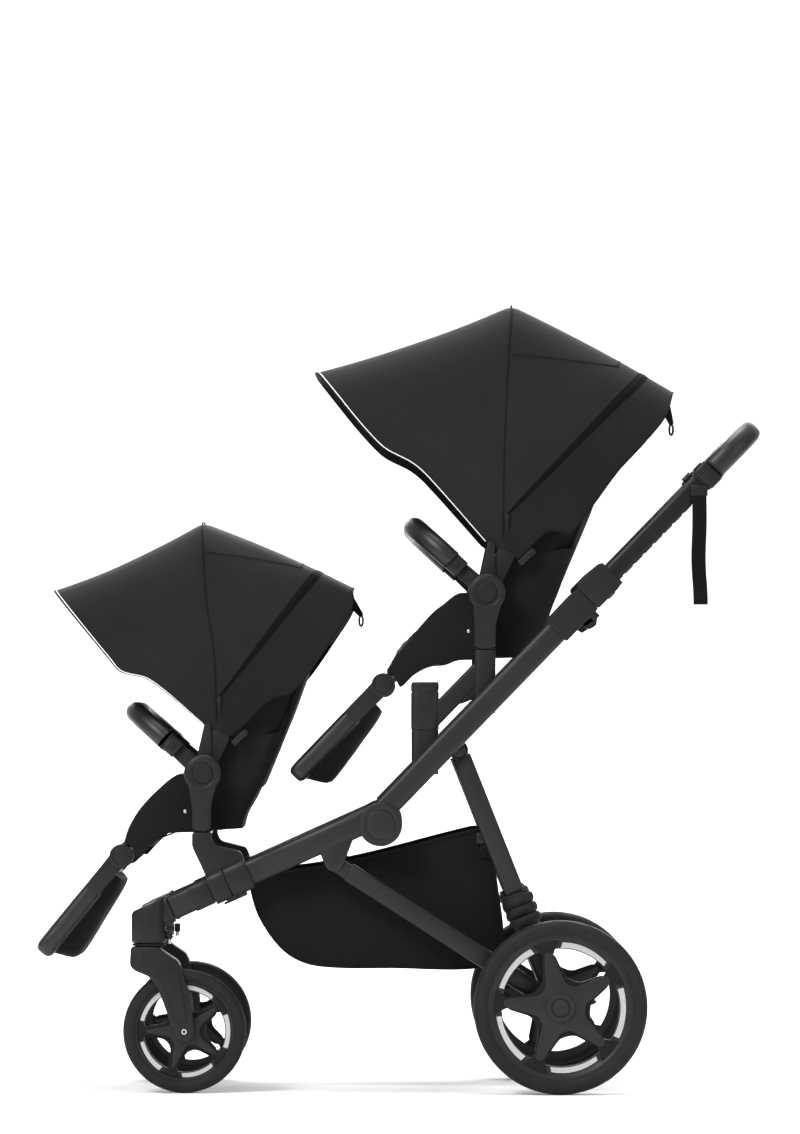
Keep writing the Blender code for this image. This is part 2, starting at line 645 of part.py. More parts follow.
def upper_tube(tag, side):
    y = SIDE_Y * side
    end = SLEEVE_SPAN[1] - 0.002
    tube = oval_bar("upper_tube_" + tag, [spot(upper(-0.205), y), spot(upper(end), y)], UPPER_HEIGHT,
                    TUBE_WIDTH, FRAME)
    outer, inner = hinge_halves(side)
    swing = disc("upper_swing_" + tag, HINGE, HINGE_R + RUN, inner[1], side * (SIDE_Y + 0.03))
    cheek = disc("upper_disc_" + tag, HINGE, HINGE_R, inner[0], inner[1])
    pin = disc("hinge_pin_" + tag, HINGE, HINGE_PIN_R, inner[0], outer[1] - (0.003 + RUN) * side)
    cut(tube, swing)
    join(tube, cheek, pin)
    low = INNER_START - HANDLE_TRAVEL - 0.004
    bore = oval_bar("inner_bore_" + tag, [spot(upper(low), y), spot(upper(end + 0.02), y)],
                    INNER_HEIGHT + 2 * RUN, INNER_WIDTH + 2 * RUN)
    cut(tube, bore)
    lug = LEG_Y + 0.5 * LEG_WIDTH
    pin_y = (LEG_Y - 0.5 * LEG_WIDTH - 0.002) * side
    boss = disc("leg_boss_" + tag, LEG_TOP, 0.012, (lug + RUN) * side, (SIDE_Y - 0.004) * side)
    axle = disc("leg_pin_" + tag, LEG_TOP, LEG_PIN_R, pin_y, (SIDE_Y - 0.006) * side)
    join(tube, boss, axle)


def tube_sleeve(tag, side):
    y = SIDE_Y * side
    ends = [spot(upper(s, SLEEVE_LIFT), y) for s in SLEEVE_SPAN]
    sleeve = oval_bar("tube_sleeve_" + tag, ends, SLEEVE_HEIGHT, SLEEVE_WIDTH, PLASTIC)
    low = SLEEVE_LIFT - 0.5 * SLEEVE_HEIGHT - RUN
    start = SLEEVE_SPAN[0] + 0.0378
    pin = upper(start + 0.025, low - 0.0045)
    lug = [upper(start + s, lift) for s, lift in
           ((0.019, -0.012), (0.019, low - 0.009), (0.031, low - 0.009), (0.031, -0.012))]
    inner = CATCH_HALF + RUN
    lugs = [plate("catch_lug_%s_%d" % (tag, way), lug, y + way * inner, y + way * (inner + 0.003))
            for way in (-1, 1)]
    rivet = disc("catch_pin_" + tag, pin, CATCH_PIN_R, y - inner - 0.002, y + inner + 0.002)
    join(sleeve, *lugs, rivet)
    through = [spot(upper(s), y) for s in (SLEEVE_SPAN[0] - 0.02, SLEEVE_SPAN[1] + 0.02)]
    cut(sleeve, oval_bar("sleeve_bore_" + tag, through, UPPER_HEIGHT + 2 * GAP, TUBE_WIDTH + 2 * GAP))
    outline = [upper(start + s, low - h) for s, h in
               ((0.0, 0.0), (0.026, 0.001), (0.030, 0.006), (0.016, 0.016), (0.003, 0.013))]
    catch = plate("height_clip_" + tag, outline, y - CATCH_HALF, y + CATCH_HALF, PLASTIC)
    cut(catch, disc("catch_bore_" + tag, pin, CATCH_PIN_R + RUN, y - 0.02, y + 0.02))


def handle_tube(tag, side):
    y = SIDE_Y * side
    ends = [spot(upper(s), y) for s in (INNER_START, BLOCK_START + 0.005)]
    tube = oval_bar("handle_tube_" + tag, ends, INNER_HEIGHT, INNER_WIDTH, FRAME)
    around = [spot(upper(s), y) for s in (BLOCK_START, BLOCK_START + BLOCK_LENGTH)]
    knuckle = oval_bar("handle_block_" + tag, around, BLOCK_HEIGHT, BLOCK_WIDTH)
    join(tube, knuckle)


def handle_grip():
    turn = GRIP_CORNER
    start = BLOCK_START + BLOCK_LENGTH + GAP
    reach = start + GRIP_ARM
    bend = [(reach - turn + turn * sin(a), SIDE_Y - turn + turn * cos(a))
            for a in (radians(90) * i / BEND_STEPS for i in range(BEND_STEPS + 1))]
    half = [(start, SIDE_Y)] + bend
    near = [spot(upper(s), -y) for s, y in half]
    far = [spot(upper(s), y) for s, y in reversed(half)]
    rod("handle_grip", near + far, GRIP_R, LEATHER, resolution=3)


def wrist_strap():
    y = SIDE_Y + 0.5 * INNER_WIDTH + RUN
    middle = upper(BLOCK_START + 0.5 * BLOCK_LENGTH)
    x, top = middle[0] + STRAP_DROP[0], middle[1] + STRAP_DROP[1]
    strap = block("wrist_strap", (x - 0.5 * STRAP_WIDTH, -y - STRAP_THICK, top - STRAP_LENGTH),
                  (x + 0.5 * STRAP_WIDTH, -y, top), FABRIC)
    soften(strap, 0.0012, 1)


def seat_rail(tag, side):
    """The spare adapter post, the post under the main seat, and the rail between them."""
    near, far = sorted(side * v for v in MOUNT_Y)
    spare = block("seat_rail_" + tag, (SPARE_X[0], near, SPARE_Z[0]), (SPARE_X[1], far, SPARE_Z[1]), PLASTIC)
    rail = [upper(s, RAIL_LIFT + h) for s, h in
            ((RAIL_SPAN[0], -0.5 * RAIL_HEIGHT), (RAIL_SPAN[1], -0.5 * RAIL_HEIGHT),
             (RAIL_SPAN[1], 0.5 * RAIL_HEIGHT), (RAIL_SPAN[0], 0.5 * RAIL_HEIGHT))]
    bridge = plate("rail_bridge_" + tag, rail, near + 0.003, far - 0.003)
    foot_x, foot_z = MAIN["arm_foot"]
    half = 0.5 * SEAT_POST_DEPTH
    low = UPPER_PASS[1] + (foot_x - UPPER_PASS[0]) * tan(UPPER_SLOPE) - 0.014
    stem = block("rail_stem_" + tag, (foot_x - half, near, low), (foot_x + half, far, foot_z - GAP))
    soften(join(spare, bridge, stem), 0.002, 1, 60)


# Rear legs and axle
def leg_frame():
    drop = Vector(REAR_AXLE) - Vector(LEG_TOP)
    return atan2(drop.y, drop.x), drop.length


def leg_spot(forward, lift=0.0):
    slope, _ = leg_frame()
    return along(LEG_TOP, slope, forward, lift)


def rear_leg(tag, side):
    y = LEG_Y * side
    leg = oval_bar("rear_leg_" + tag, [spot(leg_spot(0.004), y), spot(leg_spot(BELLOWS_SPAN[0] - GAP), y)],
                   LEG_HEIGHT, LEG_WIDTH, FRAME)
    eye = disc("leg_eye_" + tag, LEG_TOP, 0.5 * LEG_HEIGHT, y - 0.5 * LEG_WIDTH, y + 0.5 * LEG_WIDTH)
    join(leg, eye)
    cut(leg, disc("leg_bore_" + tag, LEG_TOP, LEG_PIN_R + RUN, y - 0.03, y + 0.03))


def bellows(tag, side):
    """A ribbed rubber boot, turned about the leg's own line."""
    length = BELLOWS_SPAN[1] - BELLOWS_SPAN[0]
    pitch = length / (BELLOWS_RIBS + 0.5)
    profile = [(0.0, length), (BELLOWS_NECK_R, length)]
    for k in range(BELLOWS_RIBS):
        middle = length - pitch * (k + 0.75)
        profile += [(BELLOWS_R, middle + 0.28 * pitch), (BELLOWS_R, middle - 0.28 * pitch),
                    (BELLOWS_NECK_R, middle - 0.5 * pitch)]
    profile += [(BELLOWS_NECK_R, 0.0), (0.0, 0.0)]
    boot = turned("bellows_" + tag, profile, (0.0, 0.0), 0.0, side, RUBBER, steps=20)
    low = leg_spot(BELLOWS_SPAN[1])
    slope, _ = leg_frame()
    boot.location = spot(low, LEG_Y * side)
    boot.rotation_euler = (0.0, -slope - radians(90), 0.0)


def rear_axle():
    _, reach = leg_frame()
    beam = disc("rear_axle", REAR_AXLE, AXLE_TUBE_R, -LEG_Y, LEG_Y, FRAME)
    parts = []
    for tag, side in SIDES:
        y = LEG_Y * side
        top = leg_spot(BELLOWS_SPAN[1] + GAP)
        parts.append(oval_bar("axle_housing_" + tag, [spot(top, y), spot(leg_spot(reach), y)],
                              HOUSING_HEIGHT, LEG_WIDTH))
        parts.append(disc("axle_boss_" + tag, REAR_AXLE, 0.5 * HOUSING_HEIGHT, y - 0.5 * LEG_WIDTH,
                          y + 0.5 * LEG_WIDTH))
        parts.append(disc("axle_stub_" + tag, REAR_AXLE, STUB_R, y, (REAR_Y + STUB_END) * side))
    for way in (-1, 1):
        at = way * (0.5 * PEDAL_WIDTH + RUN)
        x, z = PEDAL_PIN
        lug = [(REAR_AXLE[0], z - 0.008), (x + 0.006, z - 0.007), (x + 0.006, z + 0.007),
               (REAR_AXLE[0], z + 0.008)]
        parts.append(plate("pedal_lug_%d" % way, lug, at, at + way * 0.006))
    reach = 0.5 * PEDAL_WIDTH + 0.004
    parts.append(disc("pedal_pin", PEDAL_PIN, PEDAL_PIN_R, -reach, reach))
    join(beam, *parts)


def brake_pedal():
    outline = [(PEDAL_PIN[0] + x, PEDAL_PIN[1] + z) for x, z in PEDAL_OUTLINE]
    half = 0.5 * PEDAL_WIDTH
    pedal = plate("brake_pedal", outline, -half, half, PLASTIC)
    cut(pedal, disc("pedal_bore", PEDAL_PIN, PEDAL_PIN_R + RUN, -half - 0.01, half + 0.01))


# Basket
def basket():
    """Open at the top, between the side tubes, with a pin at each corner that holds it."""
    skin = plate("basket", BASKET_OUTLINE, -BASKET_Y, BASKET_Y, FABRIC)
    middle = Vector((-0.03, 0.30))
    inner = []
    for corner in BASKET_OUTLINE:
        pull = (Vector(corner) - middle).normalized() * BASKET_WALL * 1.4
        inner.append(tuple(Vector(corner) - pull))
    lifted = [(x, z + 0.06) if i < 5 else (x, z) for i, (x, z) in enumerate(inner)]
    hollow = plate("basket_hollow", lifted, BASKET_WALL - BASKET_Y, BASKET_Y - BASKET_WALL)
    cut(skin, hollow)
    pins = []
    for tag, side in SIDES:
        tube_face = CASTOR_Y - 0.5 * TUBE_WIDTH - GAP
        leg_face = LEG_Y - 0.5 * LEG_WIDTH - GAP
        start = (BASKET_Y - 0.002) * side
        pins.append(disc("basket_pin_front_" + tag, BASKET_PIN_FRONT, BASKET_PIN_R, start,
                         tube_face * side))
        pins.append(disc("basket_pin_rear_" + tag, BASKET_PIN_REAR, BASKET_PIN_R, start,
                         leg_face * side))
    join(skin, *pins)


# Seats
def shifted(seat, outline):
    return [(seat["hub"][0] + x, seat["hub"][1] + z) for x, z in outline]


def seat_frame(seat):
    """Two arms with hubs, side bars down to the leg rest hinges, and two cross tubes."""
    hub = seat["hub"]
    name = seat["name"]
    knee = shifted(seat, [seat["leg_hinge"]])[0]
    rear = (hub[0], hub[1] + seat["base_under"][2][1] - 0.012)
    front = (knee[0] + 0.030, knee[1] + 0.018)
    pieces = []
    for tag, side in SIDES:
        near, far = [side * v for v in MOUNT_Y]
        half = 0.5 * seat["arm_depth"]
        foot_x, foot_z = seat["arm_foot"]
        arm = [(foot_x - half, foot_z), (foot_x + half, foot_z), (hub[0] + 0.75 * HUB_R, hub[1]),
               (hub[0] - 0.75 * HUB_R, hub[1])]
        pieces.append(plate("%s_arm_%s" % (name, tag), arm, near, far))
        pieces.append(disc("%s_hub_%s" % (name, tag), hub, HUB_R, near, far + 0.002 * side))
        low, high = [side * v for v in SIDE_BAR_Y]
        pieces.append(disc("%s_pin_%s" % (name, tag), hub, SEAT_PIN_R, side * (BASE_Y + RUN),
                           near + 0.002 * side))
        pieces.append(disc("%s_inner_hub_%s" % (name, tag), hub, 0.020, low, high))
        for at, (a, b) in enumerate(((hub, rear), (rear, front), (front, knee))):
            slope = atan2(b[1] - a[1], b[0] - a[0])
            run = (Vector(b) - Vector(a)).length
            bar = [along(a, slope, f, h) for f, h in ((-0.006, -0.007), (run + 0.006, -0.007),
                                                      (run + 0.006, 0.007), (-0.006, 0.007))]
            pieces.append(plate("%s_side_%s_%d" % (name, tag, at), bar, low, high))
        pieces.append(disc("%s_knee_%s" % (name, tag), knee, LEG_HINGE_R, low, high))
        pieces.append(disc("%s_knee_pin_%s" % (name, tag), knee, KNEE_PIN_R, side * 0.152,
                           low + 0.002 * side))
    y_end = SIDE_BAR_Y[0] + 0.004
    first = rod("%s_seat_frame" % name, [spot(rear, -y_end), spot(rear, y_end)], 0.0075, FRAME)
    pieces.append(rod("%s_front_tube" % name, [spot(front, -y_end), spot(front, y_end)], 0.0075))
    join(first, *pieces)
    for tag, side in SIDES:
        far = MOUNT_Y[1] * side
        floor = far - BUTTON_DEPTH * side
        recess = disc("%s_button_recess_%s" % (name, tag), hub, BUTTON_R + RUN, floor, far + 0.02 * side)
        well = disc("%s_stem_well_%s" % (name, tag), hub, STEM_R + RUN, floor - (PRESS + 0.001) * side,
                    floor + 0.001 * side)
        cut(first, recess, well)
        cap = disc("%s_hub_button_%s" % (name, tag), hub, BUTTON_R, floor + (PRESS + RUN) * side,
                   far + 0.004 * side, STEEL)
        join(cap, disc("%s_button_stem_%s" % (name, tag), hub, STEM_R, floor - RUN * side,
                       floor + (PRESS + 0.002) * side))


def height_at(line, x):
    """The height of a side-view line at x, for a line whose points run forward to back."""
    for (x0, z0), (x1, z1) in zip(line, line[1:]):
        if x <= x1:
            return z0 + (z1 - z0) * max(0.0, x - x0) / (x1 - x0)
    return line[-1][1]


def seat_base(seat):
    """A crowned cushion between two round bolsters, with a lip that turns up before the backrest."""
    top, under = seat["bolster_top"], seat["base_under"]
    run = [x for x, _ in top] + [x for x, _ in seat["cushion_top"][1:-1]]
    edge = (BASE_Y - BOLSTER) / BASE_Y
    stations = [(1.0, 0.0, -BASE_ROUND), (0.5 * (1.0 + edge), 0.0, 0.0), (edge + 0.03, 0.45, 0.0),
                (edge - 0.06, 1.0, -0.5 * BASE_CROWN), (0.0, 1.0, BASE_CROWN)]
    rings = []
    for y, mix, rise in [(-y, mix, rise) for y, mix, rise in stations] + stations[-2::-1]:
        upper_line = []
        for x in sorted(set(run)):
            high, low = height_at(top, x), height_at(seat["cushion_top"], x)
            upper_line.append((x, high + (low - high) * mix + rise))
        rings.append([spot(p, y * BASE_Y) for p in shifted(seat, upper_line + under)])
    loft("%s_seat_base" % seat["name"], rings, FABRIC)


def backrest(seat):
    """A slab with two side wings and an arm at each side that turns on the hub pin."""
    name = seat["name"]
    hub = seat["hub"]
    foot, top = shifted(seat, [seat["back_foot"], seat["back_top"]])
    slope = atan2(top[1] - foot[1], top[0] - foot[0])
    run = (Vector(top) - Vector(foot)).length
    thick = seat["back_thick"]
    slab = [(0.0, -0.40 * thick), (0.06 * run, -0.50 * thick), (0.5 * run, -0.56 * thick),
            (0.94 * run, -0.42 * thick), (run, -0.30 * thick), (run, 0.30 * thick),
            (0.94 * run, 0.40 * thick), (0.5 * run, 0.44 * thick), (0.06 * run, 0.50 * thick),
            (0.0, 0.40 * thick)]
    body = pad(name + "_backrest", foot, slope, slab, BACK_Y, FABRIC)
    wing = [along(foot, slope, f, h) for f, h in
            ((0.14 * run, 0.0), (0.99 * run, 0.0), (0.99 * run, 0.7 * thick), (0.82 * run, 1.9 * thick),
             (0.40 * run, 2.1 * thick), (0.20 * run, 1.2 * thick))]
    parts = []
    for tag, side in SIDES:
        inner = BASE_Y + 0.001
        parts.append(plate("%s_wing_%s" % (name, tag), wing, side * (inner + GAP), side * (BACK_Y - GAP)))
        parts.append(disc("%s_back_hub_%s" % (name, tag), hub, 0.016, side * (inner - GAP),
                          side * (BACK_Y + GAP)))
        arm = [along(hub, slope, f, h) for f, h in ((-0.004, -0.012), (0.11, -0.060), (0.13, -0.020),
                                                     (0.012, 0.012))]
        parts.append(plate("%s_back_arm_%s" % (name, tag), arm, side * (inner + 2 * GAP),
                           side * (BACK_Y - 2 * GAP)))
    join(body, *parts)
    bores = [disc("%s_back_bore_%s" % (name, tag), hub, SEAT_PIN_R + RUN, side * 0.140, side * 0.170)
             for tag, side in SIDES]
    cut(body, *bores)


def bumper_bar(seat):
    """A padded bow from hub to hub, in front of the child."""
    name = seat["name"]
    hub = seat["hub"]
    slope = radians(seat["bumper_deg"])
    y_mid = 0.5 * (BUMPER_Y[0] + BUMPER_Y[1])
    radius = seat["bumper_r"]
    reach = seat["bumper_reach"] - radius
    turn = 0.075
    y_side = y_mid + 0.004
    start = 0.052
    bend = [(reach - turn + turn * sin(a), y_side - turn + turn * cos(a))
            for a in (radians(90) * i / BEND_STEPS for i in range(BEND_STEPS + 1))]
    half = [(start, y_side)] + bend
    near = [spot(along(hub, slope, s), -y) for s, y in half]
    far = [spot(along(hub, slope, s), y) for s, y in reversed(half)]
    bow = rod(name + "_bumper_bar", near + far, radius, LEATHER)
    parts = []
    bores = []
    for tag, side in SIDES:
        low, high = [side * v for v in BUMPER_Y]
        tongue = [along(hub, slope, s, h) for s, h in ((0.0, -0.012), (0.060, -0.013), (0.060, 0.013),
                                                       (0.0, 0.012))]
        parts.append(plate("%s_tongue_%s" % (name, tag), tongue, low, high))
        parts.append(disc("%s_bumper_hub_%s" % (name, tag), hub, 0.019, low, high))
        bores.append(disc("%s_bumper_bore_%s" % (name, tag), hub, SEAT_PIN_R + RUN, side * 0.17, side * 0.2))
    join(bow, *parts)
    cut(bow, *bores)


def leg_rest(seat):
    """A padded board in a bent tube, hinged under the front of the seat."""
    name = seat["name"]
    knee = shifted(seat, [seat["leg_hinge"]])[0]
    slope = radians(seat["leg_deg"])
    length = seat["leg_length"]
    thick = seat["leg_thick"]
    y_side = 0.1575
    board = [(0.030, -0.40 * thick), (length - 0.012, -0.5 * thick), (length, -0.3 * thick),
             (length, 0.2 * thick), (length - 0.015, 0.9 * thick), (0.075, 1.2 * thick),
             (0.030, 0.6 * thick)]
    body = pad(name + "_leg_rest", knee, slope, board, y_side, FABRIC)
    parts = []
    bores = []
    for tag, side in SIDES:
        inner = side * 0.1510
        outer = side * (SIDE_BAR_Y[0] - 0.001)
        arm = [along(knee, slope, s, h) for s, h in ((0.0, -0.012), (0.050, -0.010), (0.050, 0.010),
                                                     (0.0, 0.012))]
        parts.append(plate("%s_rest_arm_%s" % (name, tag), arm, inner, outer))
        parts.append(disc("%s_rest_hub_%s" % (name, tag), knee, 0.016, inner, outer))
        bores.append(disc("%s_rest_bore_%s" % (name, tag), knee, KNEE_PIN_R + RUN, side * 0.14,
                          side * 0.17))
    join(body, *parts)
    cut(body, *bores)


def canopy_line(points, share):
    """A point at a share of the way along one of the canopy's side lines."""
    spans = [(Vector(b) - Vector(a)).length for a, b in zip(points, points[1:])]
    goal = share * sum(spans)
    for (a, b), span in zip(zip(points, points[1:]), spans):
        if goal <= span + 1e-9:
            return Vector(a).lerp(Vector(b), goal / span)
        goal -= span
    return Vector(points[-1])


def stretched(a, b, share, dip):
    """Between two side-view points, as cloth pulled straight that dips a little in the middle."""
    at = a.lerp(b, share)
    return at - at.normalized() * dip * 4 * share * (1 - share)


# Half of the canopy's bow: share of the side line, distance across, and how far out past the line
BOW = [(0.0, 0.1885, 0.0), (0.36, 0.1900, 0.0), (0.70, 0.1895, 0.0), (0.86, 0.1830, 0.0),
       (0.95, 0.1660, 0.0), (1.0, 0.1300, 0.0), (1.0, 0.0600, 0.004), (1.0, 0.0, 0.005)]


def canopy_sheet(name, seat, line_a, line_b, steps, shares, dip):
    """A curved sheet between two side lines, from one hub over the roof to the other."""
    bm = bmesh.new()
    whole = [(s, -y, out) for s, y, out in BOW] + [(s, y, out) for s, y, out in reversed(BOW[:-1])]
    rows = []
    for i in range(steps + 1):
        share = shares[0] + (shares[1] - shares[0]) * i / steps
        row = []
        for s, y, out in whole:
            at = stretched(canopy_line(line_a, s), canopy_line(line_b, s), share, dip * s)
            at = at + at.normalized() * out
            row.append(bm.verts.new((seat["hub"][0] + at.x, y, seat["hub"][1] + at.y)))
        rows.append(row)
    for before, after in zip(rows, rows[1:]):
        for k in range(len(whole) - 1):
            bm.faces.new((before[k], before[k + 1], after[k + 1], after[k]))
    bmesh.ops.recalc_face_normals(bm, faces=bm.faces)
    mesh = bpy.data.meshes.new(name)
    bm.to_mesh(mesh)
    bm.free()
    sheet = place(bpy.data.objects.new(name, mesh), FABRIC)
    wall = sheet.modifiers.new("cloth", "SOLIDIFY")
    wall.thickness = CANOPY_WALL
    wall.offset = 0.0
    return sheet


def canopy_arm(name, seat, target, tag, side, span, width):
    """A flat blade from the hub to the canopy's hem."""
    hub = seat["hub"]
    slope = atan2(target[1], target[0])
    run = Vector(target).length
    low, high = [side * v for v in span]
    blade = [along(hub, slope, s, h) for s, h in
             ((0.0, -0.5 * width), (run, -0.4 * width), (run, 0.4 * width), (0.0, 0.5 * width))]
    arm = plate("%s_%s" % (name, tag), blade, low, high)
    ear = disc("%s_ear_%s" % (name, tag), hub, 0.018, low, high)
    tip = (hub[0] + target[0], hub[1] + target[1])
    stitch = disc("%s_stitch_%s" % (name, tag), tip, 0.4 * width, side * 0.1880, high)
    bore = disc("%s_ear_bore_%s" % (name, tag), hub, SEAT_PIN_R + RUN, side * 0.18, side * 0.2)
    return (arm, ear, stitch), bore


def canopy(seat):
    name = seat["name"]
    front, ridge, rear = seat["canopy_front"], seat["canopy_ridge"], seat["canopy_rear"]
    seam = CANOPY_SEAM / Vector(ridge[-1]).length
    nose = canopy_sheet(name + "_canopy_front", seat, front, ridge, 3, (0.0, 1.0 - seam), CANOPY_DIP[0])
    back = canopy_sheet(name + "_canopy_rear", seat, ridge, rear, 3, (seam, 1.0), CANOPY_DIP[1])
    hem = canopy_line(front, 0.12).lerp(canopy_line(ridge, 0.12), 0.3)
    tail = canopy_line(ridge, 0.10).lerp(canopy_line(rear, 0.10), 0.5)
    for tag, side in SIDES:
        blades, bore = canopy_arm(name + "_front_hoop", seat, hem, tag, side, FRONT_HOOP_Y, 0.016)
        cut(join(nose, *blades), bore)
        blades, bore = canopy_arm(name + "_rear_hoop", seat, tail, tag, side, REAR_HOOP_Y, 0.016)
        cut(join(back, *blades), bore)


for tag, side in SIDES:
    rear_wheel(tag, side)
    front_wheel(tag, side)
    castor(tag, side)
    lower_tube(tag, side)
    strut(tag, side)
    seat_clamp(tag, side)
    upper_tube(tag, side)
    tube_sleeve(tag, side)
    handle_tube(tag, side)
    seat_rail(tag, side)
    rear_leg(tag, side)
    bellows(tag, side)

cross_y = CASTOR_Y - HEAD_R - GAP
rod("front_cross_tube", [(CASTOR_X, -cross_y, CROSS_Z), (CASTOR_X, cross_y, CROSS_Z)], CROSS_R, FRAME)
handle_grip()
wrist_strap()
rear_axle()
brake_pedal()
basket()
for seat in (MAIN, SIBLING):
    seat_frame(seat)
    seat_base(seat)
    backrest(seat)
    bumper_bar(seat)
    leg_rest(seat)
    canopy(seat)
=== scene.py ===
"""The looks of a black tandem pram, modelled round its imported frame.

Metres, +Z up. The pram's front is towards -X, its handlebar towards +X, and the photographed side is -Y.
Side-view places are (x, z) pairs, and the pieces of the two sides are made by one loop.
"""
from math import atan2, copysign, cos, hypot, pi, radians, sin, tan

import bpy
from mathutils import Matrix, Vector, noise


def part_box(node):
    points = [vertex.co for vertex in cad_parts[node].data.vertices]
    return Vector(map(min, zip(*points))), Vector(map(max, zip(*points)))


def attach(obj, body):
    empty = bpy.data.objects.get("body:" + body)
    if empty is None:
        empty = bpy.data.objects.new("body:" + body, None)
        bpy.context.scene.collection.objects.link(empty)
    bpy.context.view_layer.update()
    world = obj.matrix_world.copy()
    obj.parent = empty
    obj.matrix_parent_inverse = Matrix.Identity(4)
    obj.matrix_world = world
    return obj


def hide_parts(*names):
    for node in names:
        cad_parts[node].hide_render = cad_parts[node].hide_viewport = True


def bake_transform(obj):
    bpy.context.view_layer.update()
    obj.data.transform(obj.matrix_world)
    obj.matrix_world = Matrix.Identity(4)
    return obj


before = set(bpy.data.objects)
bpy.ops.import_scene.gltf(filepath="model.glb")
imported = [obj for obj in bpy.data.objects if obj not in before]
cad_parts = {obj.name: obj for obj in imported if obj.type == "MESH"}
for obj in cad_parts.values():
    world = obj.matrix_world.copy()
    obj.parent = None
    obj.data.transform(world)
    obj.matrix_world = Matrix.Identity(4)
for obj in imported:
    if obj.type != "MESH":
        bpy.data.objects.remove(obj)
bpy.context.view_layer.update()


# Studio
# A pale floor that curves up into a pale wall, with large soft lights, as in a catalogue photograph.
# The paper is clear from behind, so that the pram can also be seen from its far side and from below.
# The camera stands 12 m away on the pram's left, a little above its axles, and looks slightly up.
CAMERA_AWAY = 11.975
CAMERA_HEIGHT = 0.621
CAMERA_TILT = 1.243
LENS = 223.8

camera_data = bpy.data.cameras.new("studio_camera")
camera_data.lens = LENS
camera_data.sensor_width = 36.0
camera_data.clip_start = 0.1
camera_data.clip_end = 100.0
camera = bpy.data.objects.new("studio_camera", camera_data)
camera.location = (0.003, -CAMERA_AWAY, CAMERA_HEIGHT)
camera.rotation_euler = (radians(90 + CAMERA_TILT), 0.0, 0.0)
bpy.context.scene.collection.objects.link(camera)
bpy.context.scene.camera = camera
bpy.context.scene.view_settings.view_transform = "Standard"


def studio_floor():
    bpy.ops.object.select_all(action="DESELECT")
    bpy.ops.mesh.primitive_grid_add(x_subdivisions=8, y_subdivisions=96, size=1.0)
    floor = bpy.context.object
    for corner in floor.data.vertices:
        run = (corner.co.y + 0.5) * 24.0 - 14.0
        turn = min(max(run - 3.0, 0.0) / 2.0, pi / 2)
        rise = max(run - 3.0 - pi, 0.0)
        corner.co = (corner.co.x * 30.0, min(run, 3.0) + 2.0 * sin(turn), 2.0 * (1 - cos(turn)) + rise)
    bpy.ops.object.shade_smooth()
    floor.name = "studio_floor"
    pale = bpy.data.materials.new("pale_paper")
    pale.use_nodes = True
    paper = pale.node_tree.nodes["Principled BSDF"]
    paper.inputs["Base Color"].default_value = (0.93, 0.93, 0.93, 1.0)
    paper.inputs["Roughness"].default_value = 0.9
    paper.inputs["Specular IOR Level"].default_value = 0.1
    nodes, links = pale.node_tree.nodes, pale.node_tree.links
    face_side = nodes.new("ShaderNodeNewGeometry")
    clear = nodes.new("ShaderNodeBsdfTransparent")
    one_way = nodes.new("ShaderNodeMixShader")
    links.new(face_side.outputs["Backfacing"], one_way.inputs[0])
    links.new(paper.outputs["BSDF"], one_way.inputs[1])
    links.new(clear.outputs["BSDF"], one_way.inputs[2])
    links.new(one_way.outputs["Shader"], nodes["Material Output"].inputs["Surface"])
    floor.data.materials.append(pale)


def soft_light(name, place, aim, size, power):
    lamp = bpy.data.lights.new(name, "AREA")
    lamp.shape = "RECTANGLE"
    lamp.size, lamp.size_y = size
    lamp.energy = power
    light = bpy.data.objects.new(name, lamp)
    light.location = place
    light.rotation_euler = (Vector(aim) - Vector(place)).to_track_quat("-Z", "Y").to_euler()
    bpy.context.scene.collection.objects.link(light)


studio_floor()
soft_light("key_light", (-2.4, -4.0, 3.8), (0.0, 0.0, 0.7), (2.0, 1.6), 250)
soft_light("fill_light", (3.6, -3.4, 2.0), (0.0, 0.0, 0.6), (1.6, 2.0), 35)
soft_light("top_light", (0.2, 0.4, 4.2), (0.0, 0.0, 0.6), (2.6, 2.6), 250)
soft_light("back_light", (0.0, 4.0, 2.6), (0.0, 0.0, 0.6), (4.0, 2.4), 160)
studio_air = bpy.data.worlds.new("studio_air")
studio_air.use_nodes = True
studio_air.node_tree.nodes["Background"].inputs["Color"].default_value = (1.0, 1.0, 1.0, 1.0)
studio_air.node_tree.nodes["Background"].inputs["Strength"].default_value = 0.42
bpy.context.scene.world = studio_air


# Side tubes, legs, struts and the front cross tube
# Pressed oval aluminium tubes with a satin black powder coat, one set on each side of the pram.
# The lower tube is jogged inwards ahead of the seat clamp, and a cast bracket under it holds the strut.
def new_finish(name, values):
    """A new material, with its node tree and its own shader, whose plain values are set."""
    finish = bpy.data.materials.new(name)
    finish.use_nodes = True
    shader = finish.node_tree.nodes["Principled BSDF"]
    for socket, value in values.items():
        shader.inputs[socket].default_value = value
    return finish, finish.node_tree, shader


def add_node(tree, kind, values=None):
    """A new shader node with its plain values set."""
    made = tree.nodes.new("ShaderNode" + kind)
    for socket, value in (values or {}).items():
        made.inputs[socket].default_value = value
    return made


def add_texture(tree, kind, values):
    """A texture laid through the piece at its real size."""
    made = add_node(tree, kind, values)
    tree.links.new(add_node(tree, "TexCoord").outputs["Object"], made.inputs["Vector"])
    return made


def colour_by(share, tree, shader, dark, light, stops=(0.0, 1.0)):
    """Takes the colour from dark to light while the share goes from stop to stop."""
    shade = add_node(tree, "ValToRGB")
    for element, colour, stop in zip(shade.color_ramp.elements, (dark, light), stops):
        element.position = stop
        element.color = (*colour, 1.0)
    tree.links.new(share, shade.inputs["Fac"])
    tree.links.new(shade.outputs["Color"], shader.inputs["Base Color"])


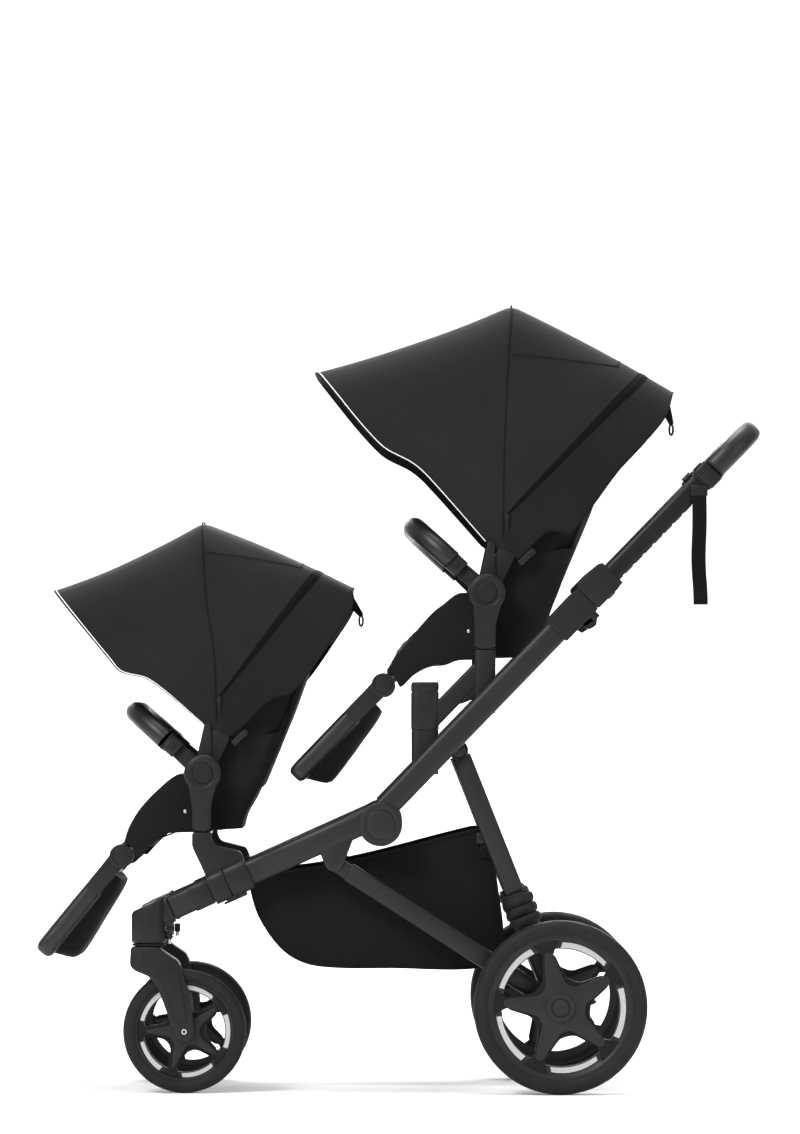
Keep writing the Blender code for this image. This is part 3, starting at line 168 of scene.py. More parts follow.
def roughen_by(share, tree, shader, low, high):
    """Takes the roughness from low to high with the share."""
    gloss = add_node(tree, "MapRange", {"To Min": low, "To Max": high})
    tree.links.new(share, gloss.inputs["Value"])
    tree.links.new(gloss.outputs["Result"], shader.inputs["Roughness"])


def emboss_by(share, tree, shader, strength, distance):
    """Raises the surface's grain with the share."""
    bump = add_node(tree, "Bump", {"Strength": strength, "Distance": distance})
    tree.links.new(share, bump.inputs["Height"])
    tree.links.new(bump.outputs["Normal"], shader.inputs["Normal"])


def satin_powder_coat():
    """Black powder coat: a fine orange peel, with a faint change of gloss along the tube."""
    paint, tree, shader = new_finish("satin_powder_coat", {"Specular IOR Level": 0.26})
    peel = add_texture(tree, "TexNoise", {"Scale": 900.0, "Detail": 3.0}).outputs["Fac"]
    haze = add_texture(tree, "TexNoise", {"Scale": 14.0, "Detail": 4.0}).outputs["Fac"]
    roughen_by(haze, tree, shader, 0.36, 0.50)
    colour_by(haze, tree, shader, (0.0085, 0.0085, 0.0090), (0.0125, 0.0125, 0.0132))
    emboss_by(peel, tree, shader, 0.10, 0.0004)
    return paint


def start_piece():
    if bpy.context.object and bpy.context.object.mode != "OBJECT":
        bpy.ops.object.mode_set(mode="OBJECT")
    bpy.ops.object.select_all(action="DESELECT")


def take_up(piece):
    """Makes the piece the only one selected, and the one that is worked on."""
    start_piece()
    piece.select_set(True)
    bpy.context.view_layer.objects.active = piece


def face_outwards():
    """Turns all faces of the mesh being edited outwards, and leaves edit mode."""
    bpy.ops.mesh.select_all(action="SELECT")
    bpy.ops.mesh.normals_make_consistent(inside=False)
    bpy.ops.object.mode_set(mode="OBJECT")


def settle(piece):
    """Puts the piece's place, turn and size into its mesh, so that its object sits at the origin."""
    take_up(piece)
    bpy.ops.object.transform_apply(location=True, rotation=True, scale=True)
    return piece


def draw_tube(stops, height, width, sides=32, flat=0.55):
    """A flat-sided tube, extruded from stop to stop. A flat of 1 leaves it oval."""
    first = Vector(stops[1]) - Vector(stops[0])
    lean = atan2(first.z, hypot(first.x, 0.0) * (1 if first.x >= 0 else -1))
    start_piece()
    bpy.ops.mesh.primitive_circle_add(vertices=sides, radius=0.5, fill_type="NGON", location=stops[0],
                                      rotation=(0.0, pi / 2 - lean, 0.0))
    tube = bpy.context.object
    for corner in tube.data.vertices:
        for axis in (0, 1):
            corner.co[axis] = copysign(0.5 * abs(2 * corner.co[axis]) ** flat, corner.co[axis])
    tube.scale = (height, width, 1.0)
    settle(tube)
    bpy.ops.object.mode_set(mode="EDIT")
    bpy.ops.mesh.select_all(action="SELECT")
    for here, there in zip(stops, stops[1:]):
        step = Vector(there) - Vector(here)
        bpy.ops.mesh.extrude_region_move(TRANSFORM_OT_translate={"value": step})
    face_outwards()
    return tube


def reshape(piece, name, kind, **settings):
    """Applies one modifier with the given settings to the piece."""
    take_up(piece)
    change = piece.modifiers.new(name, kind)
    for setting, value in settings.items():
        setattr(change, setting, value)
    bpy.ops.object.modifier_apply(modifier=change.name)
    return piece


def round_edges(piece, width, segments=2, angle=40):
    """Breaks the piece's sharp edges, as a mould or a file would."""
    return reshape(piece, "broken_edges", "BEVEL", width=width, segments=segments, limit_method="ANGLE",
                   angle_limit=radians(angle), harden_normals=False)


def weld_on(piece, *others):
    """Joins other meshes to the piece as one object that keeps each part's own finish."""
    start_piece()
    for other in others:
        other.select_set(True)
    piece.select_set(True)
    bpy.context.view_layer.objects.active = piece
    bpy.ops.object.join()
    return piece


def coat(piece, finish):
    piece.data.materials.clear()
    piece.data.materials.append(finish)
    return piece


def label(piece, name, nodes, smooth=32):
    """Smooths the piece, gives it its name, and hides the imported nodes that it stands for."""
    settle(piece)
    bpy.ops.object.shade_smooth_by_angle(angle=radians(smooth))
    piece.name = name
    piece.data.name = name
    if nodes:
        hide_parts(*nodes)


def hand_over(piece, name, body, nodes, smooth=32):
    """Labels the piece and sets it on the body that it moves with."""
    label(piece, name, nodes, smooth)
    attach(piece, body)


def from_point(start, lean, forward, lift=0.0):
    """The (x, z) that lies forward along a lean and lift square to it."""
    return (start[0] + forward * cos(lean) - lift * sin(lean),
            start[1] + forward * sin(lean) + lift * cos(lean))


def across(pair, y):
    return (pair[0], y, pair[1])


def carve(piece, cutter):
    """Takes the cutter's space out of the piece."""
    reshape(piece, "carved", "BOOLEAN", operation="DIFFERENCE", object=cutter)
    bpy.data.objects.remove(cutter, do_unlink=True)
    return piece


def cut_plate(outline, y_near, y_far, edge=0.0012, segments=2):
    """A flat plate with a side-view outline, pushed out from y_near to y_far and broken at its edges."""
    start_piece()
    bpy.ops.mesh.primitive_circle_add(vertices=len(outline), radius=0.01, fill_type="NGON")
    made = bpy.context.object
    for corner, (x, z) in zip(made.data.vertices, outline):
        corner.co = (x, y_near, z)
    bpy.ops.object.mode_set(mode="EDIT")
    bpy.ops.mesh.select_all(action="SELECT")
    bpy.ops.mesh.extrude_region_move(TRANSFORM_OT_translate={"value": (0.0, y_far - y_near, 0.0)})
    face_outwards()
    if edge:
        round_edges(made, edge, segments)
    return made


def round_outline(corners, radius, steps=5):
    """A side-view outline with its corners rounded by arcs."""
    outline = []
    count = len(corners)
    for i in range(count):
        before, here, after = (Vector(corners[(i + k) % count]) for k in (-1, 0, 1))
        back, on = (before - here), (after - here)
        reach = min(radius, 0.45 * back.length, 0.45 * on.length)
        start, end = here + back.normalized() * reach, here + on.normalized() * reach
        for k in range(steps + 1):
            t = k / steps
            point = start * (1 - t) ** 2 + here * 2 * t * (1 - t) + end * t ** 2
            outline.append((point.x, point.y))
    return outline


def turned_boss(centre, radius, y_near, y_far, rings=(), sides=48, edge=0.0008):
    """A round boss across the pram whose outer face at y_far is stepped by (inset, rise) rings."""
    start_piece()
    side = 1 if y_far > y_near else -1
    bpy.ops.mesh.primitive_cylinder_add(vertices=sides, radius=radius, depth=abs(y_far - y_near),
                                        location=(centre[0], 0.5 * (y_near + y_far), centre[1]),
                                        rotation=(radians(90), 0.0, 0.0))
    boss = settle(bpy.context.object)
    bpy.ops.object.mode_set(mode="EDIT")
    bpy.ops.mesh.select_all(action="DESELECT")
    bpy.ops.object.mode_set(mode="OBJECT")
    for face in boss.data.polygons:
        face.select = face.normal.y * side > 0.9
    bpy.ops.object.mode_set(mode="EDIT")
    for inset, rise in rings:
        bpy.ops.mesh.inset(thickness=inset, depth=rise)
    bpy.ops.object.mode_set(mode="OBJECT")
    if edge:
        round_edges(boss, edge, 2, 30)
    return boss


SIDES = (("l", "left", -1), ("r", "right", 1))
LOWER_THROUGH = (-0.0677, 0.4471)
LOWER_LEAN = radians(24.2)
LOWER_DEEP = 0.042
UPPER_THROUGH = (0.1181, 0.6187)
UPPER_LEAN = radians(45.9)
UPPER_DEEP = 0.040
TUBE_ACROSS = 0.026
TUBE_Y = 0.235
JOG_Y = 0.213
HEAD_ROUND = 0.0288
FOLD_HINGE = (-0.0296, 0.4474)
STRUT_PIN = (-0.107, 0.3835)
STRUT_DEEP = 0.032
STRUT_ACROSS = 0.0200
REAR_HUB = (0.2692, 0.1445)
LEG_PIN = (0.1002, 0.5709)
LEG_Y = 0.207
LEG_LEAN = atan2(REAR_HUB[1] - LEG_PIN[1], REAR_HUB[0] - LEG_PIN[0])
STRUT_LEAN = atan2(REAR_HUB[1] - STRUT_PIN[1], REAR_HUB[0] - STRUT_PIN[0])
POWDER_COAT = satin_powder_coat()


def lower_line(x):
    return (x, LOWER_THROUGH[1] + (x - LOWER_THROUGH[0]) * tan(LOWER_LEAN))


def upper_line(forward, lift=0.0):
    return from_point(UPPER_THROUGH, UPPER_LEAN, forward, lift)


def leg_line(forward, lift=0.0):
    return from_point(LEG_PIN, LEG_LEAN, forward, lift)


def lower_side_tube(tag, side):
    y, jog = TUBE_Y * side, JOG_Y * side
    stops = [(-0.036, y), (-0.100, y), (-0.150, y - 0.001 * side), (-0.190, 0.6 * y + 0.4 * jog),
             (-0.215, 0.25 * y + 0.75 * jog), (-0.238, jog), (-0.300, jog), (-0.3785, jog)]
    tube = draw_tube([across(lower_line(x), at) for x, at in stops], LOWER_DEEP, TUBE_ACROSS, 40)
    round_edges(tube, 0.002, 2, 60)
    carve(tube, turned_boss(FOLD_HINGE, 0.0372, y - 0.03 * side, y + 0.0015 * side, (), 64, 0))
    disc = turned_boss(FOLD_HINGE, 0.0366, y + 0.0015 * side, y + 0.0136 * side,
                       ((0.0024, 0.0014), (0.0088, 0.0), (0.0006, -0.0012), (0.0010, 0.0), (0.0006, 0.0010),
                        (0.0040, 0.0004)), 64, 0.0005)
    inner = 0.5 * 0.016 + 0.0006
    under = -0.5 * LOWER_DEEP
    cheek = [from_point(lower_line(STRUT_PIN[0] - 0.030), LOWER_LEAN, 0.0, under + 0.008),
             from_point(lower_line(STRUT_PIN[0] + 0.030), LOWER_LEAN, 0.0, under + 0.008),
             (STRUT_PIN[0] + 0.0155, STRUT_PIN[1] - 0.004), (STRUT_PIN[0] + 0.006, STRUT_PIN[1] - 0.0150),
             (STRUT_PIN[0] - 0.008, STRUT_PIN[1] - 0.0140), (STRUT_PIN[0] - 0.0160, STRUT_PIN[1] - 0.002)]
    cheeks = [cut_plate(round_outline(cheek, 0.008), y + way * inner, y + way * (inner + 0.003), 0.0008)
              for way in (-1, 1)]
    pin = turned_boss(STRUT_PIN, 0.0060, y - side * 0.010, y + side * 0.0140,
                      ((0.0016, 0.0), (0.0006, -0.001)),
                      32, 0.0005)
    weld_on(tube, disc, *cheeks, pin)
    coat(tube, POWDER_COAT)
    hand_over(tube, "lower_side_tube_" + tag, "chassis", ["lower_tube_" + tag])


def upper_side_tube(tag, side):
    y = TUBE_Y * side
    tube = draw_tube([across(upper_line(s), y) for s in (-0.205, -0.1, 0.1, 0.335)], UPPER_DEEP,
                     TUBE_ACROSS, 40)
    round_edges(tube, 0.002, 2, 60)
    carve(tube, turned_boss(FOLD_HINGE, 0.0372, y + 0.0009 * side, y + 0.03 * side, (), 64, 0))
    disc = turned_boss(FOLD_HINGE, 0.0366, y + 0.0009 * side, y - 0.013 * side,
                       ((0.003, 0.001), (0.009, 0.0), (0.0008, -0.001)), 64, 0.0005)
    lug_in, lug_out = (LEG_Y + 0.0126) * side, (TUBE_Y - 0.006) * side
    boss = turned_boss(LEG_PIN, 0.012, lug_out, lug_in, ((0.002, 0.0),), 32)
    pin = turned_boss(LEG_PIN, 0.0060, lug_in, (LEG_Y - 0.0140) * side, ((0.0012, 0.0), (0.0005, -0.001)),
                      32)
    weld_on(tube, disc, boss, pin)
    coat(tube, POWDER_COAT)
    hand_over(tube, "upper_side_tube_" + tag, "upper_frame", ["upper_tube_" + tag])


def lay_on_tube(block, forward, lift, y):
    """Turns a block into the upper tube's lean and puts its first corner at a place along that tube."""
    block.data.transform(Matrix.Translation(across(upper_line(forward, lift), y))
                         @ Matrix.Rotation(-UPPER_LEAN, 4, "Y"))
    return block


def rear_leg_tube(tag, side):
    y = LEG_Y * side
    leg = draw_tube([across(leg_line(s), y) for s in (0.012, 0.10, 0.2565)], 0.033, 0.024, 40)
    round_edges(leg, 0.0015, 2, 60)
    eye = turned_boss(LEG_PIN, 0.0165, y - 0.012 * side, y + 0.0118 * side,
                      ((0.003, 0.0), (0.0006, -0.0006)), 40)
    weld_on(leg, eye)
    coat(leg, POWDER_COAT)
    hand_over(leg, "rear_leg_tube_" + tag, "rear_legs", ["rear_leg_" + tag])


def strut_tube(tag, side):
    y = TUBE_Y * side
    reach = hypot(REAR_HUB[0] - STRUT_PIN[0], REAR_HUB[1] - STRUT_PIN[1])
    ends = [across(from_point(STRUT_PIN, STRUT_LEAN, s), y) for s in (0.028, 0.15, reach - 0.030)]
    bar = draw_tube(ends, STRUT_DEEP, STRUT_ACROSS, 40)
    round_edges(bar, 0.003, 3, 60)
    neck = [from_point(STRUT_PIN, STRUT_LEAN, f, h) for f, h in
            ((0.0, -0.0118), (0.040, -0.0138), (0.040, 0.0138), (0.0, 0.0118), (-0.0112, 0.004),
             (-0.0112, -0.004))]
    fork_end = cut_plate(round_outline(neck, 0.006), y - 0.0078, y + 0.0078, 0.001)
    weld_on(bar, fork_end)
    coat(bar, POWDER_COAT)
    hand_over(bar, "strut_tube_" + tag, "struts", ["strut_" + tag])


def front_cross_bar():
    reach = JOG_Y - HEAD_ROUND - 0.0003
    start_piece()
    bpy.ops.mesh.primitive_cylinder_add(vertices=40, radius=0.0125, depth=2 * reach,
                                        location=(-0.4156, 0.0, 0.285),
                                        rotation=(radians(90), 0.0, 0.0))
    bar = settle(bpy.context.object)
    round_edges(bar, 0.001)
    coat(bar, POWDER_COAT)
    hand_over(bar, "front_cross_bar", "chassis", ["front_cross_tube"])


for tag, word, side in SIDES:
    lower_side_tube(tag, side)
    upper_side_tube(tag, side)
    rear_leg_tube(tag, side)
    strut_tube(tag, side)
front_cross_bar()


# Rear wheels
# Air-free foam tyres on moulded five-spoke nylon rims, with a strip of silver reflector in each window's
# flange. Each rim turns on a stub axle and comes off at the button in its hub.
def tyre_rubber():
    """Matt black foam rubber, dusty where it rolls, with fine pores."""
    rubber, tree, shader = new_finish("tyre_rubber", {"Specular IOR Level": 0.16})
    dust = add_texture(tree, "TexNoise", {"Scale": 40.0, "Detail": 6.0}).outputs["Fac"]
    colour_by(dust, tree, shader, (0.009, 0.009, 0.0095), (0.015, 0.015, 0.015), (0.30, 0.80))
    roughen_by(dust, tree, shader, 0.55, 0.74)
    pores = add_texture(tree, "TexNoise", {"Scale": 700.0, "Detail": 2.0}).outputs["Fac"]
    emboss_by(pores, tree, shader, 0.25, 0.0005)
    return rubber


def moulded_nylon(name, dark, light, low=0.42, high=0.58):
    """Spark-finished black nylon: a fine even grain, and a little shine on worn high spots."""
    nylon, tree, shader = new_finish(name, {"Specular IOR Level": 0.20})
    cloud = add_texture(tree, "TexNoise", {"Scale": 22.0, "Detail": 5.0}).outputs["Fac"]
    colour_by(cloud, tree, shader, (dark, dark, dark * 1.06), (light, light, light * 1.06))
    roughen_by(cloud, tree, shader, high, low)
    grain = add_texture(tree, "TexVoronoi", {"Scale": 1100.0}).outputs["Distance"]
    emboss_by(grain, tree, shader, 0.16, 0.0004)
    return nylon


def silver_reflector():
    """Silver tape of tiny glass prisms behind clear film."""
    tape, tree, shader = new_finish("silver_reflector",
                                    {"Metallic": 0.35, "Roughness": 0.30, "Coat Weight": 0.5})
    prisms = add_texture(tree, "TexVoronoi", {"Scale": 420.0}).outputs["Distance"]
    colour_by(prisms, tree, shader, (0.50, 0.50, 0.51), (0.36, 0.36, 0.38))
    emboss_by(prisms, tree, shader, 0.3, 0.0003)
    return tape


TYRE_RUBBER = tyre_rubber()
RIM_NYLON = moulded_nylon("rim_nylon", 0.0130, 0.0185, 0.36, 0.50)
# A darker copy of the rim nylon, used as painted shade on the spoke feet, the spoke star's side walls and
# the fork's panel groove.
RIM_PAINTED_SHADE = moulded_nylon("rim_nylon_painted_shade", 0.0026, 0.0042, 0.55, 0.68)
DARK_NYLON = moulded_nylon("dark_nylon", 0.005, 0.008, 0.5, 0.62)
REFLECTOR = silver_reflector()
REAR_WHEEL_Y = 0.275


def spun_ring(profile, centre, y, side, steps=96):
    """A closed (radius, outward) profile turned once round the axle that lies across the pram."""
    start_piece()
    bpy.ops.mesh.primitive_circle_add(vertices=len(profile), radius=0.01, fill_type="NOTHING")
    ring = bpy.context.object
    for corner, (radius, out) in zip(ring.data.vertices, profile):
        corner.co = (centre[0] + radius, y + out * side, centre[1])
    bpy.ops.object.mode_set(mode="EDIT")
    bpy.ops.mesh.select_all(action="SELECT")
    bpy.ops.mesh.spin(steps=steps, angle=2 * pi, center=(centre[0], 0.0, centre[1]), axis=(0.0, 1.0, 0.0))
    bpy.ops.mesh.select_all(action="SELECT")
    bpy.ops.mesh.remove_doubles(threshold=0.00002)
    bpy.ops.mesh.normals_make_consistent(inside=False)
    bpy.ops.object.mode_set(mode="OBJECT")
    return ring


def round_section(half_wide, crown, foot):
    """The section of a tyre: flat foot, bulged walls and a rounded tread, as (radius, outward) points."""
    points = [(foot, -0.80 * half_wide), (foot, 0.80 * half_wide)]
    height = crown - foot
    walls = [(0.16, 0.93), (0.34, 0.99), (0.52, 1.0), (0.68, 0.96), (0.81, 0.86), (0.905, 0.70),
             (0.963, 0.48), (0.992, 0.24)]
    points += [(foot + up * height, wide * half_wide) for up, wide in walls]
    points += [(crown, 0.0)]
    points += [(foot + up * height, -wide * half_wide) for up, wide in reversed(walls)]
    return points


def tread_bars(centre, y, crown, half_wide, count):
    """Slim raised bars that lie askew on both shoulders of the tyre, each a bent strip of three steps."""
    bars = []
    for way in (-1, 1):
        start_piece()
        bpy.ops.mesh.primitive_cube_add(size=1.0)
        bar = bpy.context.object
        bpy.ops.object.mode_set(mode="EDIT")
        bpy.ops.mesh.subdivide(number_cuts=2)
        bpy.ops.object.mode_set(mode="OBJECT")
        for corner in bar.data.vertices:
            along_bar, wide, high = corner.co
            turn = (along_bar + 0.22 * wide) * 0.16
            out = way * (0.60 + 0.20 * along_bar + 0.09 * wide) * half_wide
            drop = 0.115 * (abs(out) / half_wide) ** 3 * half_wide * 2.0
            radius = crown - drop - 0.0011 + 0.0022 * high
            corner.co = (radius * sin(turn), out, radius * cos(turn))
        for k in range(count):
            copied = bar.copy()
            copied.data = bar.data.copy()
            copied.data.transform(Matrix.Translation((centre[0], y, centre[1]))
                                  @ Matrix.Rotation(2 * pi * (k + 0.5 * (way > 0)) / count, 4, "Y"))
            bpy.context.scene.collection.objects.link(copied)
            bars.append(copied)
        bpy.data.objects.remove(bar, do_unlink=True)
    return bars


def star_outline(centre, first, valley, neck, half_neck, count=5):
    """A five-armed star: a flat between two arms near the hub, and each arm narrowing outwards."""
    corners = []
    spread = pi / count - 0.245
    for k in range(count):
        arm = radians(first + 360 / count * k)
        places = [(valley * cos(spread), -valley * sin(spread)), (neck, -half_neck), (neck, half_neck),
                  (valley * cos(spread), valley * sin(spread))]
        corners += [(centre[0] + r * cos(arm) - t * sin(arm), centre[1] + r * sin(arm) + t * cos(arm))
                    for r, t in places]
    return corners


def spoke_foot(centre, arm, neck, half_neck, rim, half_rim):
    """The flare that spreads each arm into the rim."""
    outline = [(neck - 0.012, -half_neck), (neck, -half_neck * 1.05),
               (neck + 0.45 * (rim - neck), -0.55 * half_rim), (rim, -half_rim), (rim, half_rim),
               (neck + 0.45 * (rim - neck), 0.55 * half_rim), (neck, half_neck * 1.05),
               (neck - 0.012, half_neck)]
    return [(centre[0] + r * cos(arm) - t * sin(arm), centre[1] + r * sin(arm) + t * cos(arm))
            for r, t in outline]


def tape_arc(centre, y, side, start, end, r_in, r_out, thick=0.0006):
    turns = [radians(start + (end - start) * i / 14) for i in range(15)]
    outline = [(centre[0] + r_in * cos(a), centre[1] + r_in * sin(a)) for a in turns]
    outline += [(centre[0] + r_out * cos(a + 0.03 * (1 - 2 * i / 14)), centre[1] + r_out * sin(a))
                for i, a in reversed(list(enumerate(turns)))]
    return coat(cut_plate(outline, y, y + thick * side, 0), REFLECTOR)


def spoked_rim(centre, y, side, spec):
    """Flanged rim, star of spokes and hub, all one moulding, with the reflector tapes stuck on."""
    rim, lip, seat, inner = spec["rim"], spec["lip"], spec["tape"][1], spec["tape"][0]
    half = spec["half"]
    tread = [(rim, -half), (rim, half), (lip, half), (lip - 0.0012, half - 0.0016),
             (seat + 0.001, 0.72 * half), (seat, 0.66 * half), (inner - 0.001, 0.66 * half),
             (inner - 0.0015, 0.60 * half)]
    profile = tread + [(r, -o) for r, o in reversed(tread)][:-2]
    ring = coat(spun_ring(profile, centre, y, side), RIM_NYLON)
    arms = []
    for k in range(5):
        arm = radians(spec["first"] + 72 * k)
        # Each spoke foot is coated in the darker nylon, as painted shade behind the star.
        foot = cut_plate(round_outline(spoke_foot(centre, arm, spec["neck"], spec["half_neck"],
                                                  lip - 0.0015,
                                                  spec["half_rim"]), 0.004, 4),
                         y - 0.58 * half * side, y + 0.80 * half * side, 0.0012)
        arms.append(coat(foot, RIM_PAINTED_SHADE))
        gap = spec["gap"]
        arms.append(tape_arc(centre, y + 0.66 * half * side, side, spec["first"] + 72 * k + gap,
                             spec["first"] + 72 * (k + 1) - gap, inner + 0.0002, seat - 0.0004))
    # The wider, lower star behind the spokes is coated in the darker nylon, as painted shade on the spokes'
    # side walls.
    wall = round_outline(star_outline(centre, spec["first"], spec["valley"] + 0.0020, spec["neck"] + 0.002,
                                      spec["half_neck"] + 0.0024), 0.009, 5)
    arms.append(coat(cut_plate(wall, y - spec["star"][0] * side, y + (spec["star"][1] - 0.0040) * side,
                               0.0012),
                     RIM_PAINTED_SHADE))
    star = round_outline(star_outline(centre, spec["first"], spec["valley"] * 0.80, spec["neck"] + 0.004,
                                      spec["half_neck"] * 0.55), 0.006, 5)
    plate = cut_plate(star, y - spec["star"][0] * side, y + spec["star"][1] * side, 0)
    bpy.ops.object.mode_set(mode="OBJECT")
    for face in plate.data.polygons:
        face.select = abs(face.normal.y) > 0.9
    bpy.context.view_layer.objects.active = plate
    bpy.ops.object.mode_set(mode="EDIT")
    bpy.ops.mesh.select_mode(type="FACE")
    bpy.ops.mesh.inset(thickness=0.0016, depth=0.0026)
    bpy.ops.object.mode_set(mode="OBJECT")
    round_edges(plate, 0.0009, 3, 25)
    coat(plate, RIM_NYLON)
    return weld_on(ring, *arms, plate)


def foam_tyre(end, tag, side, hub, y, half_wide, crown, foot, steps, count):
    """The tyre of a front or rear wheel, with its tread bars."""
    tyre = coat(spun_ring(round_section(half_wide, crown, foot), hub, y, side, steps), TYRE_RUBBER)
    bars = [coat(bar, TYRE_RUBBER) for bar in tread_bars(hub, y, crown, half_wide, count)]
    weld_on(tyre, *bars)
    hand_over(tyre, end + "_wheel_tyre_" + tag, end + "_wheel_" + tag, [end + "_tyre_" + tag])


def wheel_button(name, body, node, centre, y, side):
    cap = turned_boss(centre, 0.0140, y + 0.0138 * side, y + 0.0199 * side,
                      ((0.0012, 0.0006), (0.0030, -0.0004), (0.0040, -0.0003)), 48, 0.0005)
    coat(cap, RIM_NYLON)
    hand_over(cap, name, body, [node])


for tag, word, side in SIDES:
    y = REAR_WHEEL_Y * side
    foam_tyre("rear", tag, side, REAR_HUB, y, 0.0225, 0.1445, 0.1207, 120, 16)
    rim = spoked_rim(REAR_HUB, y, side, {
        "rim": 0.1206, "lip": 0.1172, "tape": (0.0990, 0.1085), "half": 0.0165, "first": 31, "gap": 13.0,
        "neck": 0.0880, "half_neck": 0.0076, "half_rim": 0.0275, "valley": 0.0490,
        "star": (0.0070, 0.0125)})
    hub = turned_boss(REAR_HUB, 0.0242, y + 0.010 * side, y + 0.0172 * side,
                      ((0.0008, 0.0010), (0.0080, 0.0), (0.0006, -0.0010)), 56, 0.0004)
    back = turned_boss(REAR_HUB, 0.0300, y, y - 0.0150 * side, ((0.006, 0.003), (0.004, 0.0)), 48)
    weld_on(rim, coat(hub, RIM_NYLON), coat(back, DARK_NYLON))
    hand_over(rim, "rear_wheel_rim_" + tag, "rear_wheel_" + tag, ["rear_rim_" + tag], 28)
    wheel_button("rear_hub_button_" + tag, "rear_release_" + tag, "rear_release_" + tag, REAR_HUB, y, side)


# Front wheels
# The same foam and nylon as the rear, a third smaller, each running on a bolt between the legs of its fork.
# The bolt's rubber-sealed head shows on the outside of the fork.
FRONT_HUB = (-0.3559, 0.1027)
CASTOR_POST = (-0.4156, 0.213)

for tag, word, side in SIDES:
    y = CASTOR_POST[1] * side
    foam_tyre("front", tag, side, FRONT_HUB, y, 0.0190, 0.1027, 0.0823, 96, 12)
    rim = spoked_rim(FRONT_HUB, y, side, {
        "rim": 0.0822, "lip": 0.0795, "tape": (0.0692, 0.0768), "half": 0.0135, "first": 36, "gap": 14.0,
        "neck": 0.0610, "half_neck": 0.0058, "half_rim": 0.0195, "valley": 0.0335,
        "star": (0.0060, 0.0085)})
    hub = turned_boss(FRONT_HUB, 0.0170, y - 0.0185 * side, y + 0.0185 * side, ((0.003, 0.0),), 40)
    weld_on(rim, coat(hub, DARK_NYLON))
    hand_over(rim, "front_wheel_rim_" + tag, "front_wheel_" + tag, ["front_rim_" + tag], 28)


# Castors
# A die-cast head clamps the end of the lower tube, and a moulded nylon fork turns under it on a steel stem.
# The fork's outer leg has a raised panel, and a bright catch behind the head locks it straight ahead.
def bright_steel(name, tone=0.55, rough=0.28):
    """Zinc-plated steel with fine scratches along its turning marks."""
    steel, tree, shader = new_finish(name, {"Metallic": 1.0})
    marks = add_texture(tree, "TexNoise", {"Scale": 260.0, "Detail": 4.0}).outputs["Fac"]
    colour_by(marks, tree, shader, (tone * 0.8, tone * 0.8, tone * 0.82), (tone, tone, tone))
    roughen_by(marks, tree, shader, rough, rough + 0.14)
    return steel


def select_facing(piece, axis, way, limit=0.9):
    """Leaves only the faces selected that look along an axis, with the piece in edit mode."""
    take_up(piece)
    bpy.ops.object.mode_set(mode="EDIT")
    bpy.ops.mesh.select_mode(type="FACE")
    bpy.ops.mesh.select_all(action="DESELECT")
    bpy.ops.object.mode_set(mode="OBJECT")
    for face in piece.data.polygons:
        face.select = face.normal[axis] * way > limit
    bpy.ops.object.mode_set(mode="EDIT")


def panel_line(piece, axis, way, margin, width=0.0008, depth=0.0008):
    """Sinks a thin groove round a panel on the piece's flat face."""
    select_facing(piece, axis, way)
    bpy.ops.mesh.inset(thickness=margin, depth=0.0)
    bpy.ops.mesh.inset(thickness=width, depth=-depth)
    bpy.ops.mesh.inset(thickness=width, depth=depth)
    bpy.ops.object.mode_set(mode="OBJECT")
    return piece


def arc_points(centre, radius, start, sweep, count):
    turns = [radians(start + sweep * i / count) for i in range(count + 1)]
    return [(centre[0] + radius * cos(a), centre[1] + radius * sin(a)) for a in turns]


def upright_post(x, y, radius, low, high, edge=0.001, sides=48):
    start_piece()
    bpy.ops.mesh.primitive_cylinder_add(vertices=sides, radius=radius, depth=high - low,
                                        location=(x, y, 0.5 * (low + high)))
    made = settle(bpy.context.object)
    return round_edges(made, edge, 3, 50) if edge else made


def soft_block(low, high, edge=0.002, segments=3, turn=0.0):
    """A block between two corners with rounded edges, turned about its own middle in the side view."""
    start_piece()
    bpy.ops.mesh.primitive_cube_add(size=1.0, location=[0.5 * (a + b) for a, b in zip(low, high)],
                                    rotation=(0.0, -turn, 0.0))
    made = bpy.context.object
    made.scale = [abs(b - a) for a, b in zip(low, high)]
    settle(made)
    return round_edges(made, edge, segments, 40)


def swept_rod(points, radius, sides=20, radii=None, closed=False):
    """A round rod along a path of points, thick or thin where radii says. Its ends are closed."""
    path = bpy.data.curves.new("rod_path", "CURVE")
    path.dimensions = "3D"
    path.bevel_depth = radius
    path.bevel_resolution = max(1, sides // 4 - 1)
    path.use_fill_caps = True
    line = path.splines.new("POLY")
    line.points.add(len(points) - 1)
    for i, (knot, place) in enumerate(zip(line.points, points)):
        knot.co = (*place, 1.0)
        knot.radius = radii[i] if radii else 1.0
    line.use_cyclic_u = closed
    rod = bpy.data.objects.new("rod", path)
    bpy.context.scene.collection.objects.link(rod)
    take_up(rod)
    bpy.ops.object.convert(target="MESH")
    rod = bpy.context.object
    bpy.ops.object.mode_set(mode="EDIT")
    bpy.ops.mesh.select_all(action="SELECT")
    bpy.ops.mesh.remove_doubles(threshold=0.00001)
    bpy.ops.mesh.normals_make_consistent(inside=False)
    bpy.ops.object.mode_set(mode="OBJECT")
    return rod


STEEL = bright_steel("zinc_plated_steel")
PLASTIC = moulded_nylon("frame_nylon", 0.0085, 0.0125, 0.34, 0.46)
HEAD_LOW = 0.2450
FORK_HIGH = 0.2435


